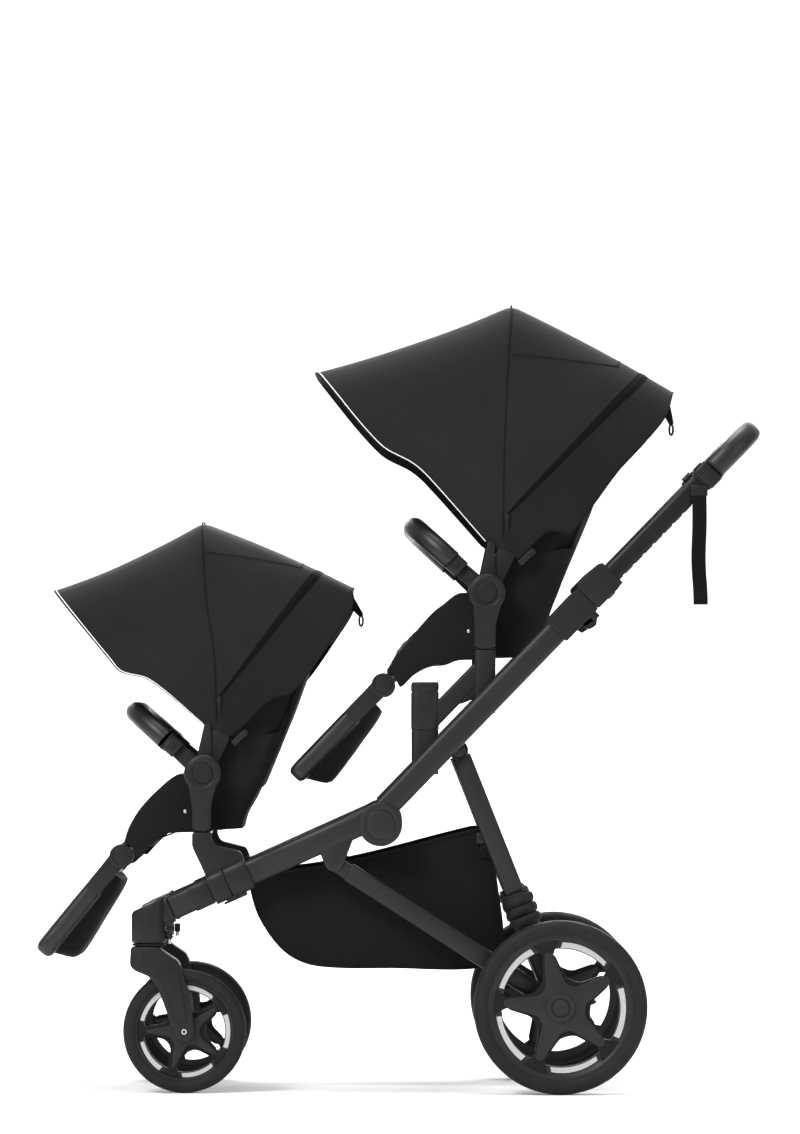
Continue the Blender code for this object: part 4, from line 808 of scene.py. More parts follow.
def castor_fork(tag, side):
    x, y = CASTOR_POST[0], CASTOR_POST[1] * side
    back = [(-0.4444, FORK_HIGH), (-0.4464, 0.2130), (-0.4390, 0.2045), (-0.4148, 0.1945),
            (-0.3990, 0.1740)]
    leg = back + arc_points(FRONT_HUB, 0.0168, 187, 166, 12)
    leg += [(-0.3445, 0.1600), (-0.3610, 0.2071), (-0.3670, 0.2205), (-0.4013, FORK_HIGH)]
    crown = [(-0.4446, FORK_HIGH), (-0.4464, 0.2150), (-0.4400, 0.2112), (-0.3620, 0.2112),
             (-0.3670, 0.2205), (-0.4013, FORK_HIGH)]
    fork = cut_plate(round_outline(crown, 0.004, 3), y - 0.0296, y + 0.0296, 0.0010, 2)
    legs = []
    for way in (-1, 1):
        plate = cut_plate(round_outline(leg, 0.005, 3), y + way * 0.0222, y + way * 0.0302, 0)
        legs.append(round_edges(plate, 0.0012, 2, 50))
        legs.append(turned_boss(FRONT_HUB, 0.0078, y + way * 0.0290, y + way * 0.0312,
                                ((0.0012, 0.0), (0.0005, -0.0007)),
                                32, 0.0003))
    coat(fork, PLASTIC)
    for plate in legs:
        coat(plate, PLASTIC)
    bolt = coat(turned_boss(FRONT_HUB, 0.0048, y + side * 0.029, y + side * 0.0317,
                            ((0.0024, 0.0), (0.0003, -0.0014)), 28, 0.0003), STEEL)
    axle = coat(turned_boss(FRONT_HUB, 0.005, y - 0.0225, y + 0.0225, (), 24, 0), STEEL)
    stem = coat(upright_post(x, y, 0.0078, 0.236, 0.300), STEEL)
    collar = coat(upright_post(x, y, 0.0230, FORK_HIGH - 0.002, FORK_HIGH + 0.0010, 0.0004), DARK_NYLON)
    stud = turned_boss((-0.4300, 0.2264), 0.0036, y + side * 0.0290, y + side * 0.0316, ((0.0012, 0.0),),
                       20, 0.0007)
    panel = round_outline([(-0.4000, 0.1984), (-0.3882, 0.2044), (-0.3656, 0.2076), (-0.3517, 0.1254),
                           (-0.3492, 0.1188), (-0.3713, 0.1188), (-0.3844, 0.1684)], 0.0030, 3)
    # The panel's outline is a thin rod of the darker nylon: a painted shadow line for the groove round the
    # panel.
    groove = swept_rod([(px, y + side * 0.0302, pz) for px, pz in panel], 0.0006, 8, closed=True)
    weld_on(fork, *legs, bolt, axle, stem, collar, coat(stud, RIM_NYLON), coat(groove, RIM_PAINTED_SHADE))
    hand_over(fork, "front_fork_" + tag, "castor_" + tag, ["castor_fork_" + tag])


def castor_head(tag, side):
    x, y = CASTOR_POST[0], CASTOR_POST[1] * side
    head = upright_post(x, y, HEAD_ROUND, HEAD_LOW + 0.0035, 0.3340, 0, 64)
    over = from_point((-0.4209, 0.3118), LOWER_LEAN, 0.0, 0.0300)
    carve(head, soft_block((over[0] - 0.07, y - 0.05, over[1] - 0.03),
                           (over[0] + 0.07, y + 0.05, over[1] + 0.03), 0.0001, 1,
                           LOWER_LEAN))
    round_edges(head, 0.0050, 4, 30)
    skirt = upright_post(x, y, HEAD_ROUND - 0.0008, HEAD_LOW, HEAD_LOW + 0.0030, 0.0006, 64)
    neck = draw_tube([across(lower_line(at), y) for at in (x - 0.004, x + 0.02, -0.3790)],
                     LOWER_DEEP + 0.0035, TUBE_ACROSS + 0.0035, 40)
    collar = draw_tube([across(lower_line(at), y) for at in (-0.3860, -0.3792)], LOWER_DEEP + 0.0050,
                       TUBE_ACROSS + 0.0050, 40)
    weld_on(coat(head, PLASTIC), coat(skirt, DARK_NYLON), coat(round_edges(neck, 0.001, 2, 60), PLASTIC),
            coat(round_edges(collar, 0.001, 2, 60), PLASTIC))
    rib = coat(soft_block((x + 0.020, y - 0.011, HEAD_LOW + 0.032),
                          (x + 0.040, y + 0.011, HEAD_LOW + 0.052),
                          0.003), PLASTIC)
    weld_on(head, rib)
    hand_over(head, "steering_head_" + tag, "chassis", ["castor_head_" + tag])


def castor_catch(tag, side):
    y = CASTOR_POST[1] * side
    low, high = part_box("swivel_lock_" + tag)
    slider = soft_block((low[0] + 0.0002, low[1], low[2] + 0.0075), high, 0.0015)
    grips = [soft_block((high[0] - 0.0012, low[1] + 0.001, low[2] + 0.010 + 0.0030 * k),
                        (high[0] - 0.0002, high[1] - 0.001, low[2] + 0.0118 + 0.0030 * k), 0.0004, 1)
             for k in range(4)]
    pin = upright_post(0.5 * (low[0] + high[0]), y, 0.0032, low[2], low[2] + 0.012, 0.0006, 24)
    coat(slider, DARK_NYLON)
    weld_on(slider, *[coat(grip, DARK_NYLON) for grip in grips], coat(pin, STEEL))
    hand_over(slider, "castor_catch_" + tag, "swivel_lock_" + tag, ["swivel_lock_" + tag])


for tag, word, side in SIDES:
    castor_fork(tag, side)
    castor_head(tag, side)
    castor_catch(tag, side)


# Sibling seat clamps
# A two-part nylon collar is squeezed round each lower tube by a clip under it, and a bent post of the same
# moulding rises from it to the sibling seat's arm. The front of the tube is cased in a collar too.
POST_NEAR, POST_FAR = 0.1987, 0.2217


def seat_clamp(tag, side):
    y = CASTOR_POST[1] * side
    near, far = POST_NEAR * side, POST_FAR * side
    foot_x, foot_z = -0.3278, 0.4345
    top = foot_z - 0.0004
    left, right = lower_line(-0.3118), lower_line(-0.2481)
    post = [(foot_x - 0.016, top), (foot_x - 0.016, top - 0.024), (foot_x + 0.002, top - 0.062), left,
            right, (right[0] - 0.014, right[1] + 0.036), (foot_x + 0.022, top - 0.021),
            (foot_x + 0.016, top - 0.010), (foot_x + 0.016, top)]
    stem = cut_plate(round_outline(post, 0.006, 4), near, far, 0.0035, 3)
    grip = draw_tube([across(lower_line(x), y) for x in (-0.3118, -0.2850)], LOWER_DEEP + 0.0110,
                     TUBE_ACROSS + 0.0110, 40)
    hold = draw_tube([across(lower_line(x), y) for x in (-0.2840, -0.2481)], LOWER_DEEP + 0.0120,
                     TUBE_ACROSS + 0.0120, 40)
    collars = [round_edges(piece, 0.0016, 3, 60) for piece in (grip, hold)]
    middle = from_point(lower_line(-0.28), LOWER_LEAN, 0.0, -0.5 * LOWER_DEEP - 0.0035)
    clip = soft_block((middle[0] - 0.0180, y - 0.0100, middle[1] - 0.0075),
                      (middle[0] + 0.0180, y + 0.0100, middle[1] + 0.0075), 0.003, 3, LOWER_LEAN)
    lip = soft_block((middle[0] - 0.0210, y - 0.0085, middle[1] - 0.0110),
                     (middle[0] + 0.0060, y + 0.0085, middle[1] - 0.0070), 0.0012, 2, LOWER_LEAN)
    casing = draw_tube([across(lower_line(x), y) for x in (-0.3440, -0.3130)], LOWER_DEEP + 0.0040,
                       TUBE_ACROSS + 0.0040, 40)
    coat(stem, PLASTIC)
    others = [coat(piece, PLASTIC) for piece in (*collars, clip, lip, round_edges(casing, 0.001, 2, 60))]
    weld_on(stem, *others)
    hand_over(stem, "sibling_seat_clamp_" + tag, "chassis", ["seat_clamp_" + tag])


for tag, word, side in SIDES:
    seat_clamp(tag, side)


# Height sleeves and catches
# A two-part nylon housing closes the top of each side tube round the sliding handle tube, and a sprung
# catch pinned under it drops into the rack on the handle tube.
def height_sleeve(tag, side):
    y = TUBE_Y * side
    lower = [(0.2085, -0.0240), (0.2085, 0.0205), (0.214, 0.0235), (0.2800, 0.0245), (0.2840, 0.0245),
             (0.2840, -0.0240)]
    upper = [(0.2850, -0.0240), (0.2850, 0.0265), (0.290, 0.0300), (0.320, 0.0300), (0.3360, 0.0285),
             (0.3415, 0.0260), (0.3415, -0.0225), (0.330, -0.0245)]
    shells = []
    for outline in (lower, upper):
        places = [upper_line(s, h) for s, h in outline]
        shells.append(cut_plate(round_outline(places, 0.003, 3), y - 0.0170, y + 0.0170, 0.0055, 5))
    rim = draw_tube([across(upper_line(s, 0.001), y) for s in (0.3385, 0.3440)], 0.049, 0.031, 40)
    base = -0.0246
    lugs = [cut_plate([upper_line(s, h)
                       for s, h in ((0.264, -0.012), (0.264, base - 0.009), (0.278, base - 0.009),
                                    (0.278, -0.012))],
                      y + way * 0.0107, y + way * 0.0136, 0.0008) for way in (-1, 1)]
    pin = turned_boss(upper_line(0.2710, -0.0291), 0.0020, y - 0.0125, y + 0.0142, (), 20, 0.0003)
    steps = soft_block((0.0, 0.0, 0.0), (0.016, 0.013, 0.004), 0.001, 2)
    lay_on_tube(steps, 0.3080, base - 0.0016, y - 0.0065)
    shell = coat(shells[0], PLASTIC)
    weld_on(shell, coat(shells[1], PLASTIC), coat(round_edges(rim, 0.0008, 2, 60), DARK_NYLON),
            *[coat(piece, PLASTIC) for piece in lugs], coat(pin, STEEL), coat(steps, PLASTIC))
    hand_over(shell, "height_sleeve_" + tag, "upper_frame", ["tube_sleeve_" + tag])


def height_catch(tag, side):
    y = TUBE_Y * side
    outline = [upper_line(0.246 + s, -0.0248 - h) for s, h in
               ((0.0, 0.0), (0.026, 0.001), (0.030, 0.006), (0.016, 0.0158), (0.003, 0.0128))]
    catch = cut_plate(round_outline(outline, 0.0022, 3), y - 0.0098, y + 0.0098, 0)
    for way in (-1, 1):
        panel_line(catch, 1, way, 0.0018, 0.0004, 0.0005)
    round_edges(catch, 0.0008, 2, 40)
    coat(catch, DARK_NYLON)
    hand_over(catch, "height_catch_" + tag, "height_clip_" + tag, ["height_clip_" + tag])


for tag, word, side in SIDES:
    height_sleeve(tag, side)
    height_catch(tag, side)


# Handlebar
# Two inner tubes with a rack of notches slide in the side tubes. Nylon joints hold a bent bar between them,
# wrapped in stitched leatherette, and a webbing wrist strap hangs from the near joint.
def leatherette(name, dark=0.007, light=0.011, grain=520.0):
    """Pebbled black leatherette, polished a little by hands."""
    hide, tree, shader = new_finish(name, {"Specular IOR Level": 0.36})
    pebbles = add_texture(tree, "TexVoronoi", {"Scale": grain})
    pebbles.feature = "DISTANCE_TO_EDGE"
    polish = add_texture(tree, "TexNoise", {"Scale": 16.0, "Detail": 4.0}).outputs["Fac"]
    colour_by(polish, tree, shader, (dark, dark, dark), (light, light, light))
    roughen_by(polish, tree, shader, 0.34, 0.50)
    emboss_by(pebbles.outputs["Distance"], tree, shader, 0.35, 0.0005)
    return hide


def reckon(tree, operation, *values):
    """A sum done in the shader, on plain numbers or on what other nodes give."""
    made = add_node(tree, "Math")
    made.operation = operation
    for socket, value in zip(made.inputs, values):
        if isinstance(value, float):
            socket.default_value = value
        else:
            tree.links.new(value, socket)
    return made.outputs["Value"]


def woven_cloth(name, dark, light, thread=1500.0, fuzz=0.55, sheen=0.04, bump_size=0.35):
    """Plain-woven polyester: crossing threads, a melange of lighter and darker yarn, and a soft sheen."""
    cloth, tree, shader = new_finish(name, {"Specular IOR Level": 0.07, "Sheen Weight": sheen,
                                            "Sheen Roughness": 0.5})
    bands = []
    for axis in ("X", "Y", "Z"):
        band = add_texture(tree, "TexWave", {"Scale": thread / 20.0, "Distortion": 0.6, "Detail": 1.0})
        band.bands_direction = axis
        bands.append(band.outputs["Fac"])
    weave = reckon(tree, "MULTIPLY", reckon(tree, "MAXIMUM", bands[0], bands[1]), bands[2])
    yarn = add_texture(tree, "TexNoise", {"Scale": 240.0, "Detail": 5.0, "Roughness": 0.7}).outputs["Fac"]
    fade = add_texture(tree, "TexNoise", {"Scale": 7.0, "Detail": 3.0}).outputs["Fac"]
    mixed = reckon(tree, "MULTIPLY_ADD", yarn, fuzz, reckon(tree, "MULTIPLY", fade, 1.0 - fuzz))
    colour_by(mixed, tree, shader, (dark, dark, dark * 1.04), (light, light, light * 1.03), (0.32, 0.68))
    roughen_by(yarn, tree, shader, 0.72, 0.92)
    emboss_by(weave, tree, shader, bump_size, 0.0004)
    return cloth


def bent_bar(start, lean, span, y_side, turn, reach, steps=10):
    """The path of a bow: out along a lean on one side, round a corner, and back on the other side."""
    bend = [(reach - turn + turn * sin(a), y_side - turn + turn * cos(a))
            for a in (radians(90) * i / steps for i in range(steps + 1))]
    half = [(span + (reach - turn - span) * i / 6, y_side) for i in range(6)] + bend
    near = [across(from_point(start, lean, s), -y) for s, y in half]
    far = [across(from_point(start, lean, s), y) for s, y in reversed(half)]
    return near + far


GRIP_HIDE = leatherette("grip_leatherette")
THREAD = woven_cloth("black_thread", 0.012, 0.020, 2500.0)
WEBBING = woven_cloth("black_webbing", 0.0034, 0.0062, 900.0, 0.3, 0.01, 0.6)
ANODISED = POWDER_COAT.copy()
ANODISED.name = "black_anodised_tube"
for node in ANODISED.node_tree.nodes:
    if node.bl_idname == "ShaderNodeValToRGB":
        node.color_ramp.elements[0].color = (0.0028, 0.0028, 0.0030, 1.0)
        node.color_ramp.elements[1].color = (0.0044, 0.0044, 0.0047, 1.0)


def handle_tube(tag, side):
    y = TUBE_Y * side
    tube = draw_tube([across(upper_line(s), y) for s in (0.17, 0.30, 0.45, 0.560)], 0.033, 0.020, 40)
    round_edges(tube, 0.001, 2, 60)
    for k in range(8):
        notch = soft_block((0.0, 0.0, 0.0), (0.0060, 0.030, 0.0036), 0.0008, 1)
        carve(tube, lay_on_tube(notch, 0.352 + 0.0235 * k, -0.0185, y - 0.015))
    coat(tube, ANODISED)
    at = upper_line(0.5721)
    block = soft_block((at[0] - 0.0146, y - 0.0150, at[1] - 0.0212),
                       (at[0] + 0.0146, y + 0.0150, at[1] + 0.0212),
                       0.0050, 4, UPPER_LEAN)
    lip = draw_tube([across(upper_line(s), y) for s in (0.5540, 0.5590)], 0.0385, 0.0255, 40)
    tongue = soft_block((0.0, 0.0, 0.0), (0.018, 0.010, 0.004), 0.001, 2)
    lay_on_tube(tongue, 0.5600, 0.0200, y - 0.005)
    weld_on(tube, coat(block, PLASTIC), coat(round_edges(lip, 0.001, 2, 60), DARK_NYLON),
            coat(tongue, DARK_NYLON))
    hand_over(tube, "telescopic_tube_" + tag, "handlebar", ["handle_tube_" + tag])


def handle_wrap():
    start, reach = 0.5870, 0.6701
    path = bent_bar(UPPER_THROUGH, UPPER_LEAN, start, TUBE_Y, 0.055, reach, 14)
    radii = [1.0] * len(path)
    radii[0] = radii[-1] = 0.95
    wrap = coat(swept_rod(path, 0.0192, 36, radii), GRIP_HIDE)
    face = Vector((-sin(UPPER_LEAN), 0.0, cos(UPPER_LEAN)))
    middle = Vector(across(UPPER_THROUGH, 0.0))
    for corner in wrap.data.vertices:
        off = (corner.co - middle).dot(face)
        corner.co += face * (copysign(0.0192 * min(1.0, abs(off) / 0.0192) ** 0.55, off) - off)
    inner = bent_bar(UPPER_THROUGH, UPPER_LEAN, start + 0.002, TUBE_Y - 0.0190, 0.036, reach - 0.0190, 14)
    welt = coat(swept_rod(inner, 0.0012, 8), GRIP_HIDE)
    stitches = []
    spans = [(Vector(b) - Vector(a)).length for a, b in zip(inner, inner[1:])]
    for way in (-1, 1):
        goal, gone, k = 0.006, 0.0, 0
        while k < len(spans):
            if goal > gone + spans[k]:
                gone += spans[k]
                k += 1
                continue
            a, b = Vector(inner[k]), Vector(inner[k + 1])
            at = a.lerp(b, (goal - gone) / spans[k])
            up = Vector((-sin(UPPER_LEAN), 0.0, cos(UPPER_LEAN)))
            run = (b - a).normalized()
            start_piece()
            bpy.ops.mesh.primitive_ico_sphere_add(subdivisions=1, radius=1.0)
            stitch = bpy.context.object
            out = run.cross(up).normalized()
            stitch.data.transform(Matrix.Translation(at + up * way * 0.0036 + out * 0.0001)
                                  @ run.to_track_quat("X", "Z").to_matrix().to_4x4()
                                  @ Matrix.Diagonal((0.0019, 0.0007, 0.0007, 1.0)))
            stitches.append(coat(stitch, THREAD))
            goal += 0.0058
    rings = []
    for side in (-1, 1):
        rings.append(coat(draw_tube([across(upper_line(s), TUBE_Y * side) for s in (0.5868, 0.5900)],
                                    0.0390, 0.0385, 40),
                          DARK_NYLON))
    weld_on(wrap, welt, *stitches, *rings)
    hand_over(wrap, "handle_wrap", "handlebar", ["handle_grip"])


def wrist_strap():
    """Webbing doubled at its lower end and stitched, sewn round the near joint."""
    low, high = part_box("wrist_strap")
    near, far = low[1], high[1]
    start_piece()
    bpy.ops.mesh.primitive_grid_add(x_subdivisions=8, y_subdivisions=60, size=1.0)
    strap = bpy.context.object
    middle = 0.5 * (near + far)
    long = high[2] - low[2] - 0.0020
    for corner in strap.data.vertices:
        share = (corner.co.y + 0.5) * 2.0
        across_strap = corner.co.x * (high[0] - low[0])
        drop = min(share, 2.0 - share) * long
        way = -1 if share < 1 else 1
        gap = 0.0009 * min(1.0, (long - drop) / 0.003 + 0.12)
        sway = 0.0022 * sin(2.6 * pi * drop / long) * (drop / long)
        corner.co = (0.5 * (low[0] + high[0]) + across_strap + sway, middle + way * gap,
                     high[2] - 0.0006 - drop)
    reshape(strap, "webbing", "SOLIDIFY", thickness=0.0013, offset=0.0)
    coat(strap, WEBBING)
    anchor = soft_block((low[0] - 0.002, near + 0.0002, high[2] - 0.014),
                        (high[0] + 0.002, far + 0.008, high[2] + 0.004),
                        0.0012, 2)
    rows = []
    for k in range(9):
        for z in (low[2] + 0.012, low[2] + 0.026):
            x = low[0] + 0.0035 + k * (high[0] - low[0] - 0.007) / 8
            rows.append(coat(soft_block((x - 0.0008, near + 0.0001, z),
                                        (x + 0.0008, near + 0.0007, z + 0.0007), 0.0002, 1),
                             THREAD))
    weld_on(strap, coat(anchor, DARK_NYLON), *rows)
    hand_over(strap, "wrist_webbing", "handlebar", ["wrist_strap"])


for tag, word, side in SIDES:
    handle_tube(tag, side)
handle_wrap()
wrist_strap()


# Seat rails and spare posts
# On each side a flat rail runs above the upper tube. It joins the post that the main seat's arm stands on
# to a capped spare post for another seat or adapter, all moulded nylon over steel.
def round_post(x_low, x_high, y_near, y_far, z_low, z_high, cap=0.003):
    """A post whose plan is a rectangle with well rounded corners and whose top edge is softened."""
    middle = (0.5 * (x_low + x_high), 0.5 * (y_near + y_far))
    half = (0.5 * (x_high - x_low), 0.5 * (y_far - y_near))
    start_piece()
    bpy.ops.mesh.primitive_circle_add(vertices=48, radius=1.0, fill_type="NGON", location=(0.0, 0.0, 0.0))
    post = bpy.context.object
    for corner_point in post.data.vertices:
        turn = atan2(corner_point.co.y, corner_point.co.x)
        pull = (abs(cos(turn)) ** 4 + abs(sin(turn)) ** 4) ** -0.25
        corner_point.co = (middle[0] + half[0] * cos(turn) * pull, middle[1] + half[1] * sin(turn) * pull,
                           z_low)
    bpy.ops.object.mode_set(mode="EDIT")
    bpy.ops.mesh.select_all(action="SELECT")
    bpy.ops.mesh.extrude_region_move(TRANSFORM_OT_translate={"value": (0.0, 0.0, z_high - z_low)})
    face_outwards()
    return round_edges(post, cap, 3, 60)


def seat_rail(tag, side):
    near, far = sorted((POST_NEAR * side, POST_FAR * side))
    foot = round_post(0.0226, 0.0672, near, far, 0.5300, 0.6040, 0.0008)
    body = round_post(0.0220, 0.0678, near, far, 0.6048, 0.6676, 0.0008)
    cap = round_post(0.0220, 0.0678, near, far, 0.6683, 0.6844, 0.0035)
    core = round_post(0.0234, 0.0664, near + 0.0012, far - 0.0012, 0.5900, 0.6780, 0.0005)
    rail = [upper_line(s, 0.0464 + h) for s, h in ((-0.060, -0.0150), (0.085, -0.0150), (0.085, 0.0150),
                                                   (-0.060, 0.0150))]
    bridge = cut_plate(rail, near + 0.003, far - 0.003, 0.0040, 4)
    stem_low = UPPER_THROUGH[1] + (0.1446 - UPPER_THROUGH[0]) * tan(UPPER_LEAN) - 0.014
    stem = round_post(0.1266, 0.1626, near, far, stem_low, 0.7380, 0.0012)
    web = [upper_line(0.010, 0.030), upper_line(0.052, 0.012), upper_line(0.075, 0.012),
           upper_line(0.078, 0.045)]
    brace = cut_plate(round_outline(web, 0.006, 3), near + 0.004, far - 0.004, 0.0015)
    coat(foot, PLASTIC)
    weld_on(foot, *[coat(piece, PLASTIC) for piece in (body, cap, core, bridge, stem, brace)])
    hand_over(foot, "seat_posts_" + tag, "upper_frame", ["seat_rail_" + tag])


for tag, word, side in SIDES:
    seat_rail(tag, side)


# Suspension boots
# A ribbed rubber boot covers the spring between each rear leg and the axle housing. On the pram it
# shortens as the spring closes; it is built here as one fixed shape.
def rubber_boot(tag, side):
    length, ribs = 0.059, 3
    pitch = length / (ribs + 0.35)
    profile = [(0.0125, length), (0.0218, length), (0.0226, length - 0.0015)]
    for k in range(ribs):
        middle = length - pitch * (k + 0.72)
        profile += [(0.0228, middle + 0.46 * pitch), (0.0262, middle + 0.36 * pitch),
                    (0.0274, middle + 0.18 * pitch), (0.0276, middle), (0.0274, middle - 0.18 * pitch),
                    (0.0262, middle - 0.34 * pitch)]
    profile += [(0.0222, 0.0040), (0.0210, 0.0), (0.0125, 0.0)]
    boot = spun_ring(profile, (0.0, 0.0), 0.0, 1, 56)
    direction = Vector((cos(LEG_LEAN), 0.0, sin(LEG_LEAN)))
    turn = Vector((0.0, 1.0, 0.0)).rotation_difference(-direction).to_matrix().to_4x4()
    boot.data.transform(Matrix.Translation(across(leg_line(0.316), LEG_Y * side)) @ turn)
    coat(boot, TYRE_RUBBER)
    label(boot, "rubber_boot_" + tag, ["bellows_" + tag], 50)
    across(leg_line(0.262), LEG_Y * side)
    across(leg_line(0.312), LEG_Y * side)
    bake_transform(boot)


for tag, word, side in SIDES:
    rubber_boot(tag, side)


# Rear axle and brake
# A round aluminium beam between two oval housings, each with a steel stub for its wheel. A nylon pedal
# on a pin between two lugs presses the brake down.
def rear_beam():
    x, z = REAR_HUB
    reach = hypot(REAR_HUB[0] - LEG_PIN[0], REAR_HUB[1] - LEG_PIN[1])
    beam = turned_boss(REAR_HUB, 0.0110, -LEG_Y, LEG_Y, (), 40, 0.0008)
    parts = []
    for side in (-1, 1):
        y = LEG_Y * side
        parts.append(coat(draw_tube([across(leg_line(s), y) for s in (0.3165, 0.36, reach - 0.004)],
                                    0.040, 0.024, 40),
                          PLASTIC))
        parts.append(coat(turned_boss(REAR_HUB, 0.0200, y - 0.0120, y + 0.0120, ((0.004, 0.001),), 48),
                          PLASTIC))
        parts.append(coat(turned_boss(REAR_HUB, 0.0075, y, 0.2755 * side, (), 32, 0.0005), STEEL))
        parts.append(coat(turned_boss(REAR_HUB, 0.0150, y - 0.012 * side, y - 0.0300 * side,
                                      ((0.003, 0.0),), 40), DARK_NYLON))
        at = side * 0.0556
        lug = [(x, z - 0.0085), (x + 0.0230, z - 0.0075), (x + 0.0268, z - 0.002), (x + 0.0268, z + 0.002),
               (x + 0.0230, z + 0.0075), (x, z + 0.0085)]
        parts.append(coat(cut_plate(round_outline(lug, 0.003, 3), at, at + side * 0.006, 0.0008), PLASTIC))
    parts.append(coat(turned_boss((x + 0.0208, z), 0.0040, -0.0590, 0.0590, (), 24, 0.0004), STEEL))
    parts.append(coat(turned_boss(REAR_HUB, 0.0145, -0.0480, 0.0480, ((0.002, 0.0),), 40), DARK_NYLON))
    coat(beam, POWDER_COAT)
    weld_on(beam, *parts)
    hand_over(beam, "rear_axle_beam", "rear_carriage", ["rear_axle"])


def brake_tread():
    x, z = REAR_HUB[0] + 0.0208, REAR_HUB[1]
    outline = [(x - 0.0068, z - 0.0058), (x, z - 0.0078), (x + 0.0400, z - 0.0044),
               (x + 0.0458, z + 0.0004), (x + 0.0436, z + 0.0032), (x + 0.0100, z + 0.0046),
               (x, z + 0.0078), (x - 0.0068, z + 0.0058)]
    pedal = cut_plate(round_outline(outline, 0.003, 3), -0.0548, 0.0548, 0.0012)
    carve(pedal, turned_boss((x, z), 0.0046, -0.07, 0.07, (), 24, 0))
    ribs = [coat(soft_block((x + 0.0130 + 0.0065 * k, -0.046, z + 0.0030),
                            (x + 0.0155 + 0.0065 * k, 0.046, z + 0.0056),
                            0.0008, 2, -0.03), TYRE_RUBBER) for k in range(4)]
    weld_on(coat(pedal, PLASTIC), *ribs)
    hand_over(pedal, "brake_tread", "brake", ["brake_pedal"])


rear_beam()
brake_tread()


# Basket
# An open bag of black polyester cloth, cut from two sides and one long strip and bound along its seams
# and rim. Straps with clips hold its corners to the side tubes and the rear legs.
def smooth_path(points, count):
    """Points spread evenly along a smooth line through the given side-view points."""
    knots = [Vector(p) for p in points]
    lengths = [0.0]
    for a, b in zip(knots, knots[1:]):
        lengths.append(lengths[-1] + (b - a).length)
    found = []
    for i in range(count + 1):
        goal = lengths[-1] * i / count
        k = max(j for j in range(len(knots) - 1) if lengths[j] <= goal + 1e-9)
        t = (goal - lengths[k]) / (lengths[k + 1] - lengths[k])
        a, b = knots[k], knots[k + 1]
        before = knots[k - 1] if k else a + (a - b)
        after = knots[k + 2] if k + 2 < len(knots) else b + (b - a)
        run = (b - a).length
        out = (b - before) / ((a - before).length + run) * run
        into = (after - a) / (run + (after - b).length) * run
        found.append(a * (2 * t ** 3 - 3 * t ** 2 + 1) + out * (t ** 3 - 2 * t ** 2 + t)
                     + b * (3 * t ** 2 - 2 * t ** 3) + into * (t ** 3 - t ** 2))
    return [(p.x, p.y) for p in found]


def cloth_area(piece):
    return sum(face.area for face in piece.data.polygons)


def cut_size(rows, columns, place):
    """The longest run of a sheet along its columns and along its rows, as it was cut before it was sewn."""
    spots = [[Vector(place(i, j)) for j in range(columns + 1)] for i in range(rows + 1)]
    across_run = max(sum((a - b).length for a, b in zip(row, row[1:])) for row in spots)
    along_run = max(sum((a - b).length for a, b in zip(line, line[1:])) for line in zip(*spots))
    return round(across_run, 3), round(along_run, 3)


def grid_cloth(rows, columns, place):
    """A sheet of cloth: a grid whose corners are put in place by a formula of row and column."""
    start_piece()
    bpy.ops.mesh.primitive_grid_add(x_subdivisions=columns, y_subdivisions=rows, size=1.0, calc_uvs=True)
    sheet = bpy.context.object
    for corner in sheet.data.vertices:
        i = round((corner.co.y + 0.5) * rows)
        j = round((corner.co.x + 0.5) * columns)
        corner.co = place(i, j)
    bpy.ops.object.mode_set(mode="EDIT")
    bpy.ops.mesh.select_all(action="SELECT")
    bpy.ops.mesh.remove_doubles(threshold=0.0002)
    bpy.ops.mesh.normals_make_consistent(inside=False)
    bpy.ops.object.mode_set(mode="OBJECT")
    return sheet


def thicken(piece, wall, offset=0.0):
    return reshape(piece, "cloth_wall", "SOLIDIFY", thickness=wall, offset=offset)


BASKET_CLOTH = woven_cloth("basket_cloth", 0.0050, 0.0078)
BINDING = woven_cloth("binding_tape", 0.0055, 0.0095, 1100.0, 0.4, 0.02, 0.5)
BASKET_RIM = [(-0.249, 0.374), (-0.192, 0.368), (-0.071, 0.387), (0.124, 0.436), (0.147, 0.437)]
BASKET_GIRTH = [(0.147, 0.437), (0.1585, 0.385), (0.167, 0.330), (0.1745, 0.262), (0.1660, 0.2240),
                (0.126, 0.2068), (0.000, 0.2075), (-0.1345, 0.211), (-0.186, 0.232), (-0.228, 0.285),
                (-0.2455, 0.335), (-0.249, 0.374)]
BASKET_HALF = 0.1785


